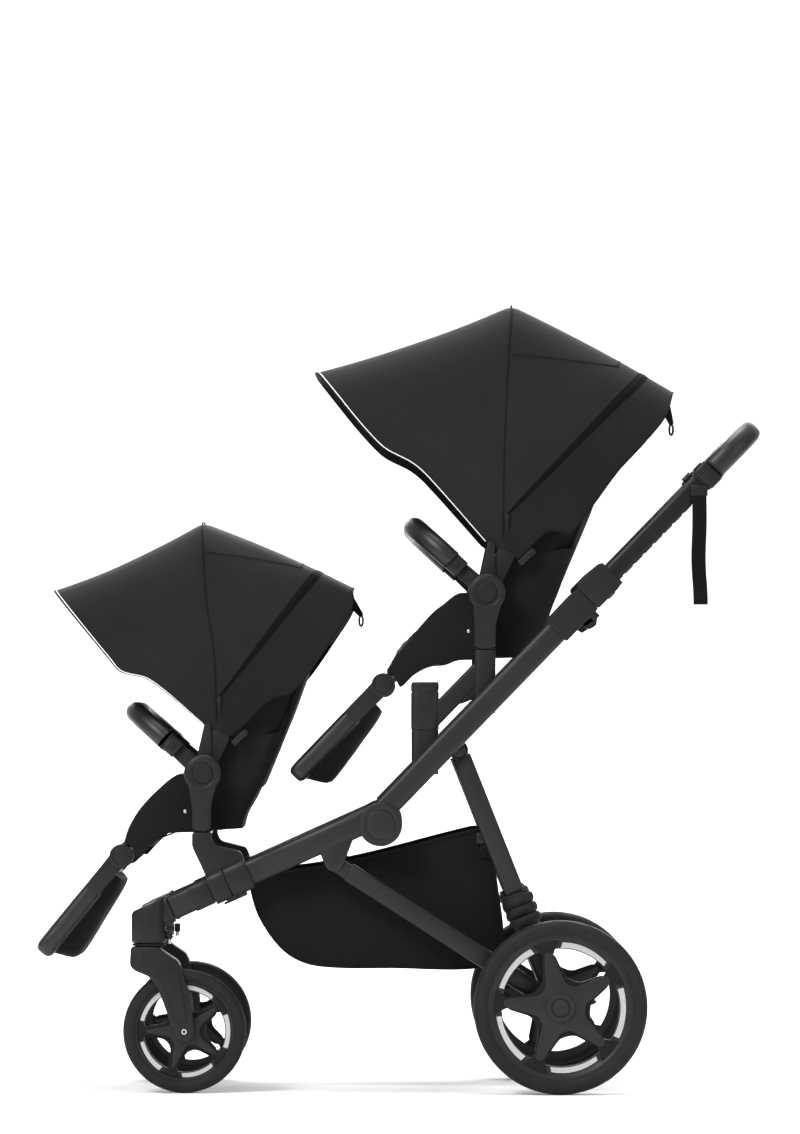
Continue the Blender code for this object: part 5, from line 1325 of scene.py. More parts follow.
def basket_bag():
    rows, sides_n, wide_n = 72, 16, 24
    girth = smooth_path(BASKET_GIRTH, rows)
    rim = smooth_path(BASKET_RIM[::-1], rows)
    columns = 2 * sides_n + wide_n

    def place(i, j):
        gx, gz = girth[i]
        rx, rz = rim[i]
        u = i / rows
        if j < sides_n or j > sides_n + wide_n:
            side = -1 if j < sides_n else 1
            a = j / sides_n if side < 0 else (columns - j) / sides_n
            swell = sin(pi * a) * sin(pi * u)
            ripple = 0.0018 * noise.noise(Vector((7 * rx + 3 * a, 5 * u + side, 2.0)))
            y = side * (BASKET_HALF + 0.0055 * swell + ripple * swell - 0.004 * a ** 6)
            return (rx * (1 - a) + gx * a, y, rz * (1 - a) + gz * a)
        v = (j - sides_n) / wide_n * 2 - 1
        sag = (1 - v * v) * sin(pi * min(1.0, max(0.0, u * 1.15 - 0.1)))
        ripple = 0.0015 * noise.noise(Vector((4 * v, 9 * u, 5.0)))
        return (gx, v * (BASKET_HALF - 0.004 * abs(v) ** 6), gz - 0.0004 * sag + ripple * (1 - v * v))

    bag = grid_cloth(rows, columns, place)
    flat = cut_size(rows, columns, place)
    thicken(bag, 0.0016, -1.0)
    coat(bag, BASKET_CLOTH)
    bindings = []
    for side in (-1, 1):
        edge = [(x, side * (BASKET_HALF - 0.0035), z) for x, z in girth[1:-1]]
        bindings.append(coat(swept_rod(edge, 0.0021, 8), BINDING))
        line = [(x, side * (BASKET_HALF + 0.0006), z) for x, z in rim]
        bindings.append(coat(swept_rod(line, 0.0030, 8), BINDING))
    for end in (rim[0], rim[-1]):
        bindings.append(coat(swept_rod([(end[0], y * BASKET_HALF / 10, end[1]) for y in range(-10, 11)],
                                       0.0030, 8),
                             BINDING))
    clips = []
    for side in (-1, 1):
        front, rear = (-0.236, 0.368), (0.146, 0.425)
        for spot_xz, wall in ((front, 0.1995), (rear, 0.1945)):
            pin = turned_boss(spot_xz, 0.0046, side * (BASKET_HALF - 0.004), side * wall, ((0.001, 0.0),),
                              24, 0.0004)
            clips.append(coat(pin, PLASTIC))
        clips.append(coat(soft_block((0.1300, side * 0.1790, 0.4140), (0.1560, side * 0.1865, 0.4330),
                                     0.0015, 2), PLASTIC))
        clips.append(coat(soft_block((0.1370, side * 0.1800, 0.3900), (0.1520, side * 0.1835, 0.4170),
                                     0.0008, 1), BINDING))
        clips.append(coat(soft_block((-0.2460, side * 0.1790, 0.3590), (-0.2260, side * 0.1860, 0.3740),
                                     0.0015, 2), PLASTIC))
    weld_on(bag, *bindings, *clips)
    hand_over(bag, "basket_bag", "chassis", ["basket"], 50)


basket_bag()


# Seat frames and hubs
# Each seat hangs between two moulded arms that stand on the chassis posts. A hub at each arm's top carries
# the backrest, canopy and bumper bar on one pin, and side bars run forward to the leg rest hinges.
MAIN_HUB = (0.1479, 0.8336)
SIBLING_HUB = (-0.3262, 0.5321)


def shifted(hub, outline):
    return [(hub[0] + x, hub[1] + z) for x, z in outline]


def seat_frame(name, hub, foot, deep, under, knee):
    knee = shifted(hub, [knee])[0]
    rear = (hub[0], hub[1] + under - 0.012)
    front = (knee[0] + 0.030, knee[1] + 0.018)
    start_piece()
    frame_piece = swept_rod([(rear[0], y, rear[1]) for y in (-0.1665, 0.0, 0.1665)], 0.0075, 20)
    coat(frame_piece, POWDER_COAT)
    parts = [coat(swept_rod([(front[0], y, front[1]) for y in (-0.1665, 0.0, 0.1665)], 0.0075, 20),
                  POWDER_COAT)]
    for side in (-1, 1):
        near, far = POST_NEAR * side, POST_FAR * side
        half = 0.5 * deep
        ring = arc_points(hub, 0.0313, 222, -264, 28)[::-1]
        outline = [(foot[0] - half, foot[1] + 0.0004), (foot[0] + half, foot[1] + 0.0004),
                   (foot[0] + half, foot[1] + 0.042)] + ring + [(foot[0] - half, foot[1] + 0.042)]
        arm = cut_plate(round_outline(outline, 0.011, 4), near, far, 0.0042, 4)
        face = turned_boss(hub, 0.0270, far - 0.0010 * side, far + 0.0012 * side,
                           ((0.0034, 0.0008), (0.0008, -0.0010), (0.0030, -0.0004)), 56, 0.0005)
        for piece in (arm, face):
            carve(piece, turned_boss(hub, 0.0173, 0.2170 * side, 0.2260 * side, (), 48, 0))
            parts.append(coat(piece, PLASTIC))
        seam = soft_block((foot[0] - half - 0.0002, min(near, far) - 0.0002, foot[1] + 0.0010),
                          (foot[0] + half + 0.0002, max(near, far) + 0.0002, foot[1] + 0.0022), 0.0004, 1)
        parts.append(coat(seam, DARK_NYLON))
        low, high = 0.1625 * side, 0.1755 * side
        parts.append(coat(turned_boss(hub, 0.0060, side * 0.1496, side * 0.2000, (), 28, 0.0004), STEEL))
        parts.append(coat(turned_boss(hub, 0.0200, low, high, ((0.003, 0.0), (0.0006, -0.0008)), 44),
                          PLASTIC))
        corners = shifted(hub,
                          [(0.0, 0.0), (-0.003, -0.050), (-0.030, under + 0.008), (-0.070, under - 0.006)])
        corners += [(knee[0] + 0.026, knee[1] + 0.017), knee]
        run = smooth_path(corners, 26)
        y = 0.5 * (low + high)
        parts.append(coat(swept_rod([(x, y, z) for x, z in run], 0.0064, 16), POWDER_COAT))
        disc = turned_boss(knee, 0.0200, low, high,
                           ((0.0045, 0.0006), (0.0008, -0.0012), (0.0010, 0.0), (0.0008, 0.0012)),
                           48)
        parts.append(coat(disc, PLASTIC))
        parts.append(coat(turned_boss(knee, 0.0050, side * 0.1520, side * 0.1640, (), 24, 0.0004), STEEL))
        parts.append(coat(turned_boss((hub[0] - 0.030, hub[1] - 0.064), 0.0032, side * 0.1750,
                                      side * 0.1785, ((0.001, 0.0004),), 20, 0.0005), STEEL))
    weld_on(frame_piece, *parts)
    hand_over(frame_piece, name + "_seat_arms", name + "_seat", [name + "_seat_frame"])


def hub_buttons(name, hub):
    for tag, word, side in SIDES:
        cap = turned_boss(hub, 0.0168, 0.2208 * side, 0.2250 * side,
                          ((0.0016, 0.0007), (0.0040, -0.0003), (0.0050, -0.0002)), 56, 0.0006)
        coat(cap, DARK_NYLON)
        hand_over(cap, "%s_hub_button_%s" % (name, word), "%s_button_%s" % (name, tag),
                  ["%s_hub_button_%s" % (name, tag)])


seat_frame("main", MAIN_HUB, (0.1446, 0.7384), 0.036, -0.0975, (-0.173, -0.154))
seat_frame("sibling", SIBLING_HUB, (-0.3278, 0.4345), 0.032, -0.0900, (-0.137, -0.1387))
hub_buttons("main", MAIN_HUB)
hub_buttons("sibling", SIBLING_HUB)


# Seat bases
# A foam cushion between two round bolsters, sewn into black polyester with a seam along each bolster and
# a piped front edge. It is strapped over the seat frame's two cross tubes.
SEAT_CLOTH = woven_cloth("seat_cloth", 0.0062, 0.0100)


def closed_loft(rings):
    """A closed form through rings of points, its two ends filled."""
    columns = len(rings[0])
    form = grid_cloth(len(rings) - 1, columns, lambda i, j: rings[i][j % columns])
    take_up(form)
    bpy.ops.object.mode_set(mode="EDIT")
    bpy.ops.mesh.select_mode(type="EDGE")
    bpy.ops.mesh.select_all(action="DESELECT")
    bpy.ops.mesh.select_non_manifold()
    bpy.ops.mesh.fill_holes(sides=0)
    face_outwards()
    return form


def fill_with_foam(pad, cap, pressure=4.0, voxel=0.0055):
    """Swells a sewn cover as its foam does, each point by no more than the cap."""
    take_up(pad)
    pad.data.remesh_voxel_size = voxel
    bpy.ops.object.voxel_remesh()
    before = [corner.co.copy() for corner in pad.data.vertices]
    cover = pad.modifiers.new("cover", "CLOTH")
    cover.settings.use_pressure = True
    cover.settings.uniform_pressure_force = pressure
    cover.settings.effector_weights.gravity = 0.0
    cover.point_cache.frame_start = 1
    cover.point_cache.frame_end = 20
    for step in range(1, 21):
        bpy.context.scene.frame_set(step)
    bpy.ops.object.modifier_apply(modifier=cover.name)
    bpy.context.scene.frame_set(1)
    for corner, start in zip(pad.data.vertices, before):
        moved = corner.co - start
        if moved.length > cap:
            corner.co = start + moved.normalized() * cap
    reshape(pad, "even", "SMOOTH", iterations=3)
    return reshape(pad, "finer", "SUBSURF", levels=1, render_levels=1)


def sew_channel(pad, distance, depth, width):
    """Pulls the cover in along a seam. The distance function tells how far a point lies from it."""
    pulls = []
    for corner in pad.data.vertices:
        off = distance(corner.co)
        pulls.append(depth * 2.718 ** (-(off / width) ** 2) if off < 3 * width else 0.0)
    normals = [corner.normal.copy() for corner in pad.data.vertices]
    for corner, pull, normal in zip(pad.data.vertices, pulls, normals):
        corner.co -= normal * pull


def height_on(line, x):
    for (x0, z0), (x1, z1) in zip(line, line[1:]):
        if x <= x1:
            return z0 + (z1 - z0) * max(0.0, x - x0) / (x1 - x0)
    return line[-1][1]


def side_wrap(hub, side, upper, lower):
    """The cover's side, turned out over the side bar and hemmed below it."""
    high, low = smooth_path(shifted(hub, upper), 30), smooth_path(shifted(hub, lower), 30)
    turn = [(0.1494, -0.0030), (0.1560, 0.0000), (0.1650, 0.0000), (0.1725, -0.0028), (0.1757, -0.0085)]

    def place(i, j):
        (x0, z0), (x1, z1) = high[i], low[i]
        if j < 5:
            y, drop = turn[j]
            return (x0, side * y, z0 + drop)
        if j == 15:
            return (x1, side * 0.1700, z1 + 0.0024)
        share = (j - 4) / 10
        x, z = x0 + (x1 - x0) * share, z0 - 0.0085 + (z1 + 0.0008 - z0 + 0.0085) * share
        loose = min(1.0, max(0.0, (hub[0] - 0.060 - x) / 0.030))
        ripple = 0.0022 * loose * (noise.noise(Vector((22 * x, 30 * z, side))) + 0.5 * sin(pi * share))
        return (x, side * (0.1759 + ripple), z)

    return thicken(grid_cloth(30, 15, place), 0.0009, 0.0)


def nose_apron(hub, line):
    """The cover's front edge, taken round the front cross tube and back under the cushion."""
    run = smooth_path(shifted(hub, line), 22)

    def place(i, j):
        x, z = run[i]
        y = -0.1496 + 0.2992 * j / 26
        dent = 0.0014 * noise.noise(Vector((16 * y, 20 * z, 20 * x)))
        return (x + dent, y, z + dent)

    return thicken(grid_cloth(22, 26, place), 0.0011, 0.0)


def seat_base(name, hub, bolster, cushion, under, upper, lower, nose):
    shrink = 0.0035
    high = smooth_path(bolster, 26)
    low = smooth_path(cushion, 26)
    stations = [(1.0, 0.0, -0.012), (0.965, 0.0, -0.004), (0.91, 0.0, 0.0), (0.84, 0.05, 0.0),
                (0.78, 0.40, 0.0), (0.72, 0.85, 0.0), (0.62, 1.0, -0.002), (0.40, 1.0, 0.001),
                (0.20, 1.0, 0.003), (0.0, 1.0, 0.004)]
    rings = []
    half_wide = 0.149
    for y, mix, rise in [(-y, mix, rise) for y, mix, rise in stations] + stations[-2::-1]:
        top = []
        for (x, z) in high:
            seat = height_on(low, x)
            top.append((x, z + (seat - z) * mix + rise - shrink))
        ring = shifted(hub, top + under)
        rings.append([(x, y * (half_wide - shrink), z) for x, z in ring])
    base = closed_loft(rings)
    fill_with_foam(base, 0.006)
    edge = half_wide * 0.76

    def bolster_seam(place):
        return abs(abs(place.y) - edge) if place.z > hub[1] - 0.095 else 1.0

    def middle_channel(place):
        if place.z < hub[1] - 0.100 or abs(place.y) > edge:
            return 1.0
        return min(abs(place.x - hub[0] + 0.045), abs(place.x - hub[0] + 0.100))

    sew_channel(base, bolster_seam, 0.0022, 0.0030)
    sew_channel(base, middle_channel, 0.0016, 0.0032)
    coat(base, SEAT_CLOTH)
    weld_on(base,
            *[coat(part, SEAT_CLOTH) for part in (side_wrap(hub, -1, upper, lower),
                                                  side_wrap(hub, 1, upper, lower),
                                                  nose_apron(hub, nose))])
    hand_over(base, name + "_seat_cushion", name + "_seat", [name + "_seat_base"], 60)


seat_base("main", MAIN_HUB,
          [(-0.158, -0.103), (-0.127, -0.068), (-0.046, -0.001), (-0.005, 0.004), (0.0525, -0.025)],
          [(-0.158, -0.098), (-0.110, -0.074), (0.0, -0.0600), (0.022, -0.0480), (0.037, -0.0340),
           (0.0525, -0.0260)],
          [(0.045, -0.0415), (0.036, -0.049), (0.040, -0.0975), (-0.046, -0.1015), (-0.121, -0.1145),
           (-0.152, -0.1165)],
          [(-0.1665, -0.1285), (-0.1500, -0.1040), (-0.1238, -0.0713), (-0.0905, -0.0335),
           (-0.0720, -0.0190), (-0.0460, -0.0005), (-0.0210, -0.0040), (-0.0080, -0.0190),
           (0.0120, -0.0230)],
          [(-0.1590, -0.1335), (-0.1500, -0.1470), (-0.1440, -0.1570), (-0.1214, -0.1362),
           (-0.0944, -0.1222), (-0.0677, -0.1190), (-0.0461, -0.1111), (-0.0150, -0.1095),
           (0.0120, -0.1090)],
          [(-0.1500, -0.1000), (-0.1625, -0.1240), (-0.1615, -0.1370), (-0.1500, -0.1455),
           (-0.1330, -0.1425), (-0.1050, -0.1250), (-0.0600, -0.1130)])
seat_base("sibling", SIBLING_HUB,
          [(-0.130, -0.096), (-0.108, -0.058), (-0.042, -0.003), (-0.005, 0.002), (0.0480, -0.0240)],
          [(-0.130, -0.090), (-0.095, -0.066), (-0.002, -0.0550), (0.019, -0.0440), (0.033, -0.0310),
           (0.0480, -0.0250)],
          [(0.041, -0.0375), (0.033, -0.0445), (0.036, -0.0900), (-0.040, -0.0925), (-0.100, -0.0985),
           (-0.122, -0.1055)],
          [(-0.1320, -0.1135), (-0.1240, -0.0900), (-0.1060, -0.0600), (-0.0760, -0.0280),
           (-0.0420, -0.0020), (-0.0200, -0.0050), (-0.0080, -0.0190), (0.0110, -0.0230)],
          [(-0.1235, -0.1180), (-0.1145, -0.1310), (-0.1090, -0.1440), (-0.0920, -0.1280),
           (-0.0780, -0.1140), (-0.0630, -0.1025), (-0.0400, -0.1000), (-0.0150, -0.0995),
           (0.0110, -0.0990)],
          [(-0.1220, -0.0900), (-0.1290, -0.1100), (-0.1265, -0.1230), (-0.1130, -0.1320),
           (-0.0960, -0.1270), (-0.0800, -0.1130), (-0.0500, -0.1010)])


# Backrests
# A foam slab with side wings in a sewn black cover, on two flat arms that turn on the hub pins. Channels
# are sewn across it, and a flap of the same cloth closes the gap between it and the seat base.
def backrest(name, hub, foot, top, thick):
    foot, top = shifted(hub, [foot, top])
    lean = atan2(top[1] - foot[1], top[0] - foot[0])
    run = hypot(top[0] - foot[0], top[1] - foot[1])
    shrink = 0.0030
    wing_line = [(0.0, 0.45), (0.12, 0.55), (0.20, 1.20), (0.40, 2.05), (0.82, 1.85), (0.95, 1.10),
                 (1.0, 0.60)]
    slab_line = [(0.0, 0.72), (0.05, 0.96), (0.5, 1.08), (0.92, 0.86), (1.0, 0.55)]
    rings = []
    for k in range(19):
        share = k / 18
        s = shrink + (run - 2 * shrink) * share
        full = height_on(slab_line, share) * (thick - 2 * shrink)
        wing = max(height_on(wing_line, share) * thick - shrink, 0.46 * full)
        wide = 0.161 - shrink - 0.010 * max(0.0, (share - 0.9) / 0.1) ** 2
        half = [(0.0, -0.52 * full), (0.45 * wide, -0.53 * full), (0.80 * wide, -0.50 * full),
                (0.94 * wide, -0.40 * full), (0.995 * wide, -0.12 * full), (wide, 0.30 * wing),
                (wide, 0.75 * wing), (0.985 * wide, wing), (0.945 * wide, wing),
                (0.915 * wide, 0.80 * wing), (0.895 * wide, 0.45 * wing + 0.2 * full),
                (0.83 * wide, 0.44 * full), (0.60 * wide, 0.40 * full), (0.30 * wide, 0.46 * full),
                (0.0, 0.48 * full)]
        loop = half + [(-y, h) for y, h in half[-2:0:-1]]
        rings.append([(from_point(foot, lean, s, h)[0], y, from_point(foot, lean, s, h)[1])
                      for y, h in loop])
    slab = closed_loft(rings)
    fill_with_foam(slab, 0.006)

    def cross_seams(place):
        s = (place.x - foot[0]) * cos(lean) + (place.z - foot[1]) * sin(lean)
        h = -(place.x - foot[0]) * sin(lean) + (place.z - foot[1]) * cos(lean)
        if h < 0 or abs(place.y) > 0.136:
            return 1.0
        return min(abs(s - 0.30 * run), abs(s - 0.62 * run))

    def wing_seams(place):
        h = -(place.x - foot[0]) * sin(lean) + (place.z - foot[1]) * cos(lean)
        return abs(abs(place.y) - 0.136) if h > 0 else abs(abs(place.y) - 0.147)

    sew_channel(slab, cross_seams, 0.0020, 0.0032)
    sew_channel(slab, wing_seams, 0.0020, 0.0030)
    coat(slab, SEAT_CLOTH)
    parts = []
    for side in (-1, 1):
        rear = [from_point(foot, lean, 0.010 + (run - 0.022) * i / 20,
                           -0.42 * height_on(slab_line, i / 20) * (thick - 2 * shrink)) for i in range(21)]
        parts.append(coat(swept_rod([(x, side * 0.1470, z) for x, z in rear], 0.0018, 8), BINDING))
        arm = [from_point(hub, lean, f, h)
               for f, h in ((-0.006, -0.013), (0.11, -0.058), (0.125, -0.030), (0.012, 0.014),
                            (-0.010, 0.010))]
        plate = cut_plate(round_outline(arm, 0.010, 4), side * 0.1506, side * 0.1604, 0.0010)
        carve(plate, turned_boss(hub, 0.0066, side * 0.14, side * 0.17, (), 28, 0))
        parts.append(coat(plate, PLASTIC))
    weld_on(slab, *parts)
    hand_over(slab, name + "_backrest_pad", name + "_back", [name + "_backrest"], 60)


def seat_flap(name, hub, rows_xz):
    """The cloth that closes each side and the rear between seat base and backrest."""
    fronts = smooth_path(shifted(hub, [row[0] for row in rows_xz]), 16)
    rears = smooth_path(shifted(hub, [row[1] for row in rows_xz]), 16)
    half, bend = 0.1614, 0.020

    def place(i, j):
        fx, fz = fronts[i]
        rx, rz = rears[i]
        if j <= 10:
            a = j / 10 * 0.86
            return (fx + (rx - fx) * a, -half, fz + (rz - fz) * a)
        if j >= 30:
            a = (40 - j) / 10 * 0.86
            return (fx + (rx - fx) * a, half, fz + (rz - fz) * a)
        v = (j - 20) / 10
        y = half * (abs(v) ** 0.8) * (1 if v > 0 else -1)
        round_off = bend * max(0.0, (abs(y) - (half - bend)) / bend) ** 2
        share = round_off / (abs(rx - fx) + 0.001)
        ripple = 0.0016 * noise.noise(Vector((5 * y, 0.4 * i, 1.0)))
        return (rx - (rx - fx) * share * 0.7 + ripple, y, rz - (rz - fz) * share * 0.7)

    flap = grid_cloth(16, 40, place)
    flat = cut_size(16, 40, place)
    thicken(flap, 0.0011, -1.0)
    coat(flap, SEAT_CLOTH)
    label(flap, name + "_seat_flap", [], 50)
    low, high = shifted(hub, [(0.088, -0.098), (0.104, -0.012)])
    across(low, 0.0)
    across(high, 0.0)
    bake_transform(flap)


backrest("main", MAIN_HUB, (0.080, -0.035), (0.222, 0.318), 0.042)
backrest("sibling", SIBLING_HUB, (0.072, -0.034), (0.188, 0.262), 0.038)
seat_flap("main", MAIN_HUB, [((-0.046, -0.1085), (0.0905, -0.1045)), ((-0.048, -0.085), (0.0965, -0.0750)),
                             ((-0.040, -0.050), (0.1050, -0.0380)), ((-0.020, -0.012), (0.1190, 0.0000)),
                             ((0.012, 0.026), (0.1340, 0.0400)), ((0.044, 0.064), (0.1490, 0.0760))])
seat_flap("sibling", SIBLING_HUB,
          [((-0.040, -0.0990), (0.0640, -0.0930)), ((-0.044, -0.078), (0.0720, -0.0660)),
           ((-0.038, -0.046), (0.0890, -0.0360)), ((-0.020, -0.012), (0.1030, 0.0000)),
           ((0.010, 0.024), (0.1170, 0.0360)), ((0.040, 0.060), (0.1300, 0.0680))])


# Leg rests
# A padded board in a wipe-clean cover, over a bent tube hinged to the side bars, with a cloth pouch sewn
# under it. Each hinge arm clicks in a round joint.
WIPE_CLEAN = leatherette("wipe_clean_cover", 0.0075, 0.0115, 900.0)


def leg_rest(name, hub, knee, lean_deg, length):
    knee = shifted(hub, [knee])[0]
    lean = radians(lean_deg)
    rings = []
    for k in range(25):
        share = k / 24
        s = 0.0250 + (length - 0.0270) * share
        ends = 1 - max(0.0, (share - 0.95) / 0.05) ** 2 * 0.22
        thick = (0.0285 + 0.0025 * share) * ends
        wide = (0.1500 if s < 0.066 else 0.1610) - 0.010 * max(0.0, (share - 0.93) / 0.07) ** 2
        half = [(0.0, -0.30 * thick), (0.70 * wide, -0.31 * thick), (0.84 * wide, -0.48 * thick),
                (0.955 * wide, -0.52 * thick), (0.992 * wide, -0.46 * thick), (wide, -0.30 * thick),
                (wide, 0.22 * thick), (0.99 * wide, 0.38 * thick), (0.95 * wide, 0.43 * thick),
                (0.84 * wide, 0.42 * thick), (0.70 * wide, 0.30 * thick), (0.0, 0.30 * thick)]
        loop = half + [(-y, h) for y, h in half[-2:0:-1]]
        rings.append([across(from_point(knee, lean, s, h), y) for y, h in loop])
    board = closed_loft(rings)
    fill_with_foam(board, 0.0022, 2.0, 0.0045)

    def rim_seam(place):
        s = (place.x - knee[0]) * cos(lean) + (place.z - knee[1]) * sin(lean)
        if s < 0.05:
            return 1.0
        return min(abs(abs(place.y) - 0.128), 1.0 if abs(place.y) > 0.128 else abs(s - length + 0.032))

    sew_channel(board, rim_seam, 0.0016, 0.0028)
    coat(board, WIPE_CLEAN)

    belly = smooth_path([(0.034, 0.012), (0.034, 0.0285), (0.100, 0.0400), (0.172, 0.0490),
                         (0.1845, 0.0455), (length - 0.0150, 0.0150)], 24)

    def pouch_place(i, j):
        v = (j - 14) / 14
        s, drop = belly[i]
        flat = 1 - abs(v) ** 9
        ripple = 0.0012 * noise.noise(Vector((6 * v, 25 * s, 3.0)))
        return across(from_point(knee, lean, s, 0.010 + (drop - 0.010) * flat + ripple), v * 0.1470)

    pouch = grid_cloth(24, 28, pouch_place)
    thicken(pouch, 0.0012, 0.0)
    coat(pouch, SEAT_CLOTH)
    parts = [pouch]
    for side in (-1, 1):
        arm = [from_point(knee, lean, s, h)
               for s, h in ((0.0, -0.0165), (0.0780, -0.0158), (0.0780, 0.0124), (0.0, 0.0135),
                            (-0.0150, 0.0))]
        plate = cut_plate(round_outline(arm, 0.006, 4), side * 0.1512, side * 0.1616, 0.0016)
        carve(plate, turned_boss(knee, 0.0056, side * 0.14, side * 0.17, (), 24, 0))
        parts.append(coat(plate, PLASTIC))
    weld_on(board, *parts)
    hand_over(board, name + "_leg_rest_pad", name + "_footrest", [name + "_leg_rest"], 60)


leg_rest("main", MAIN_HUB, (-0.173, -0.154), 226.4, 0.2175)
leg_rest("sibling", SIBLING_HUB, (-0.137, -0.1387), 230.9, 0.214)


# Bumper bars
# A bent tube padded with foam and leatherette, zipped along its inner side, on two nylon tongues that turn
# on the hub pins and release at a button near the padding.
def bumper_bar(name, hub, reach, lean_deg, radius):
    lean = radians(lean_deg)
    end = reach - radius - 0.0005
    path = bent_bar(hub, lean, 0.080, 0.1850, 0.075, end, 14)
    radii = [0.94] + [1.0] * (len(path) - 2) + [0.94]
    bow = coat(swept_rod(path, radius, 32, radii), GRIP_HIDE)
    inner = bent_bar(hub, lean, 0.084, 0.1850 - radius + 0.0003, 0.058, end - radius + 0.0003, 14)
    parts = [coat(swept_rod(inner, 0.0013, 8), DARK_NYLON)]
    for side in (-1, 1):
        y_near, y_far = side * 0.1766, side * 0.1854
        cuff = draw_tube([across(from_point(hub, lean, s), side * 0.1850) for s in (0.0560, 0.0640,
                                                                                    0.0805)],
                         2 * radius * 0.90, 0.0250, 36)
        parts.append(coat(round_edges(cuff, 0.0020, 3, 60), PLASTIC))
        joint = draw_tube([across(from_point(hub, lean, s), side * 0.1850) for s in (0.0790, 0.0830)],
                          2 * radius + 0.0004,
                          0.0335, 36)
        parts.append(coat(round_edges(joint, 0.0012, 2, 60), DARK_NYLON))
        tongue = [from_point(hub, lean, s, h)
                  for s, h in ((0.0, -0.0150), (0.064, -0.0128), (0.064, 0.0128), (0.0, 0.0150),
                               (-0.0150, 0.0))]
        plate = cut_plate(round_outline(tongue, 0.012, 5), y_near, y_far, 0.0010)
        carve(plate, turned_boss(hub, 0.0066, side * 0.17, side * 0.19, (), 28, 0))
        parts.append(coat(plate, PLASTIC))
        button = from_point(hub, lean, 0.0700, 0.0)
        parts.append(coat(turned_boss(button, 0.0060, side * 0.1940, side * 0.1988, ((0.001, 0.0004),),
                                      28, 0.0005),
                          DARK_NYLON))
    weld_on(bow, *parts)
    hand_over(bow, name + "_bumper", name + "_bar", [name + "_bumper_bar"], 50)


bumper_bar("main", MAIN_HUB, 0.182, 137.4, 0.0175)
bumper_bar("sibling", SIBLING_HUB, 0.171, 138.1, 0.0170)


# Canopies
# One sheet of grey-black cloth over two bows, sewn of panels that meet in a ridge seam. The front edge has
# a white cord under a black binding, and a zip and a vent flap cross the rear panel.
CANOPY_CLOTH = woven_cloth("canopy_cloth", 0.0105, 0.0150, 1500.0, 0.5, 0.05)
# A darker copy of the canopy cloth, used as painted shade on the rear panel behind the zip and on the
# closing sheet, which face away from the light.
CANOPY_PAINTED_SHADE = woven_cloth("canopy_cloth_painted_shade", 0.0080, 0.0115, 1500.0, 0.5, 0.05)
ZIP_TAPE = woven_cloth("zip_tape", 0.0026, 0.0042, 1100.0, 0.3, 0.0, 0.5)
WHITE_CORD = woven_cloth("white_cord", 0.62, 0.80, 2500.0, 0.3, 0.05)
ZIP_BLACK = moulded_nylon("zip_black", 0.0035, 0.0060, 0.5, 0.62)
BOW_PROFILE = [(0.0, 0.1885), (0.36, 0.1900), (0.70, 0.1895), (0.86, 0.1835), (0.95, 0.1665),
               (0.992, 0.1400), (1.0, 0.1000), (1.0, 0.0)]
BOW_RISE = 0.42


def canopy_bow(half_count=26):
    """Half of a bow as (share of the side line, half width, lift), spread evenly from hub to top."""
    points = smooth_path([(s * BOW_RISE, -y) for s, y in BOW_PROFILE], half_count)
    bow = []
    for rise, y in points:
        share = min(rise / BOW_RISE, 1.0)
        lift = 0.0050 * (1 - (y / 0.14) ** 2) if abs(y) < 0.14 and share > 0.97 else 0.0
        bow.append((share, min(y, 0.0), lift))
    return bow + [(s, -y, lift) for s, y, lift in bow[-2::-1]]


def along_line(line, share):
    at = share * (len(line) - 1)
    k = min(int(at), len(line) - 2)
    return Vector(line[k]).lerp(Vector(line[k + 1]), at - k)


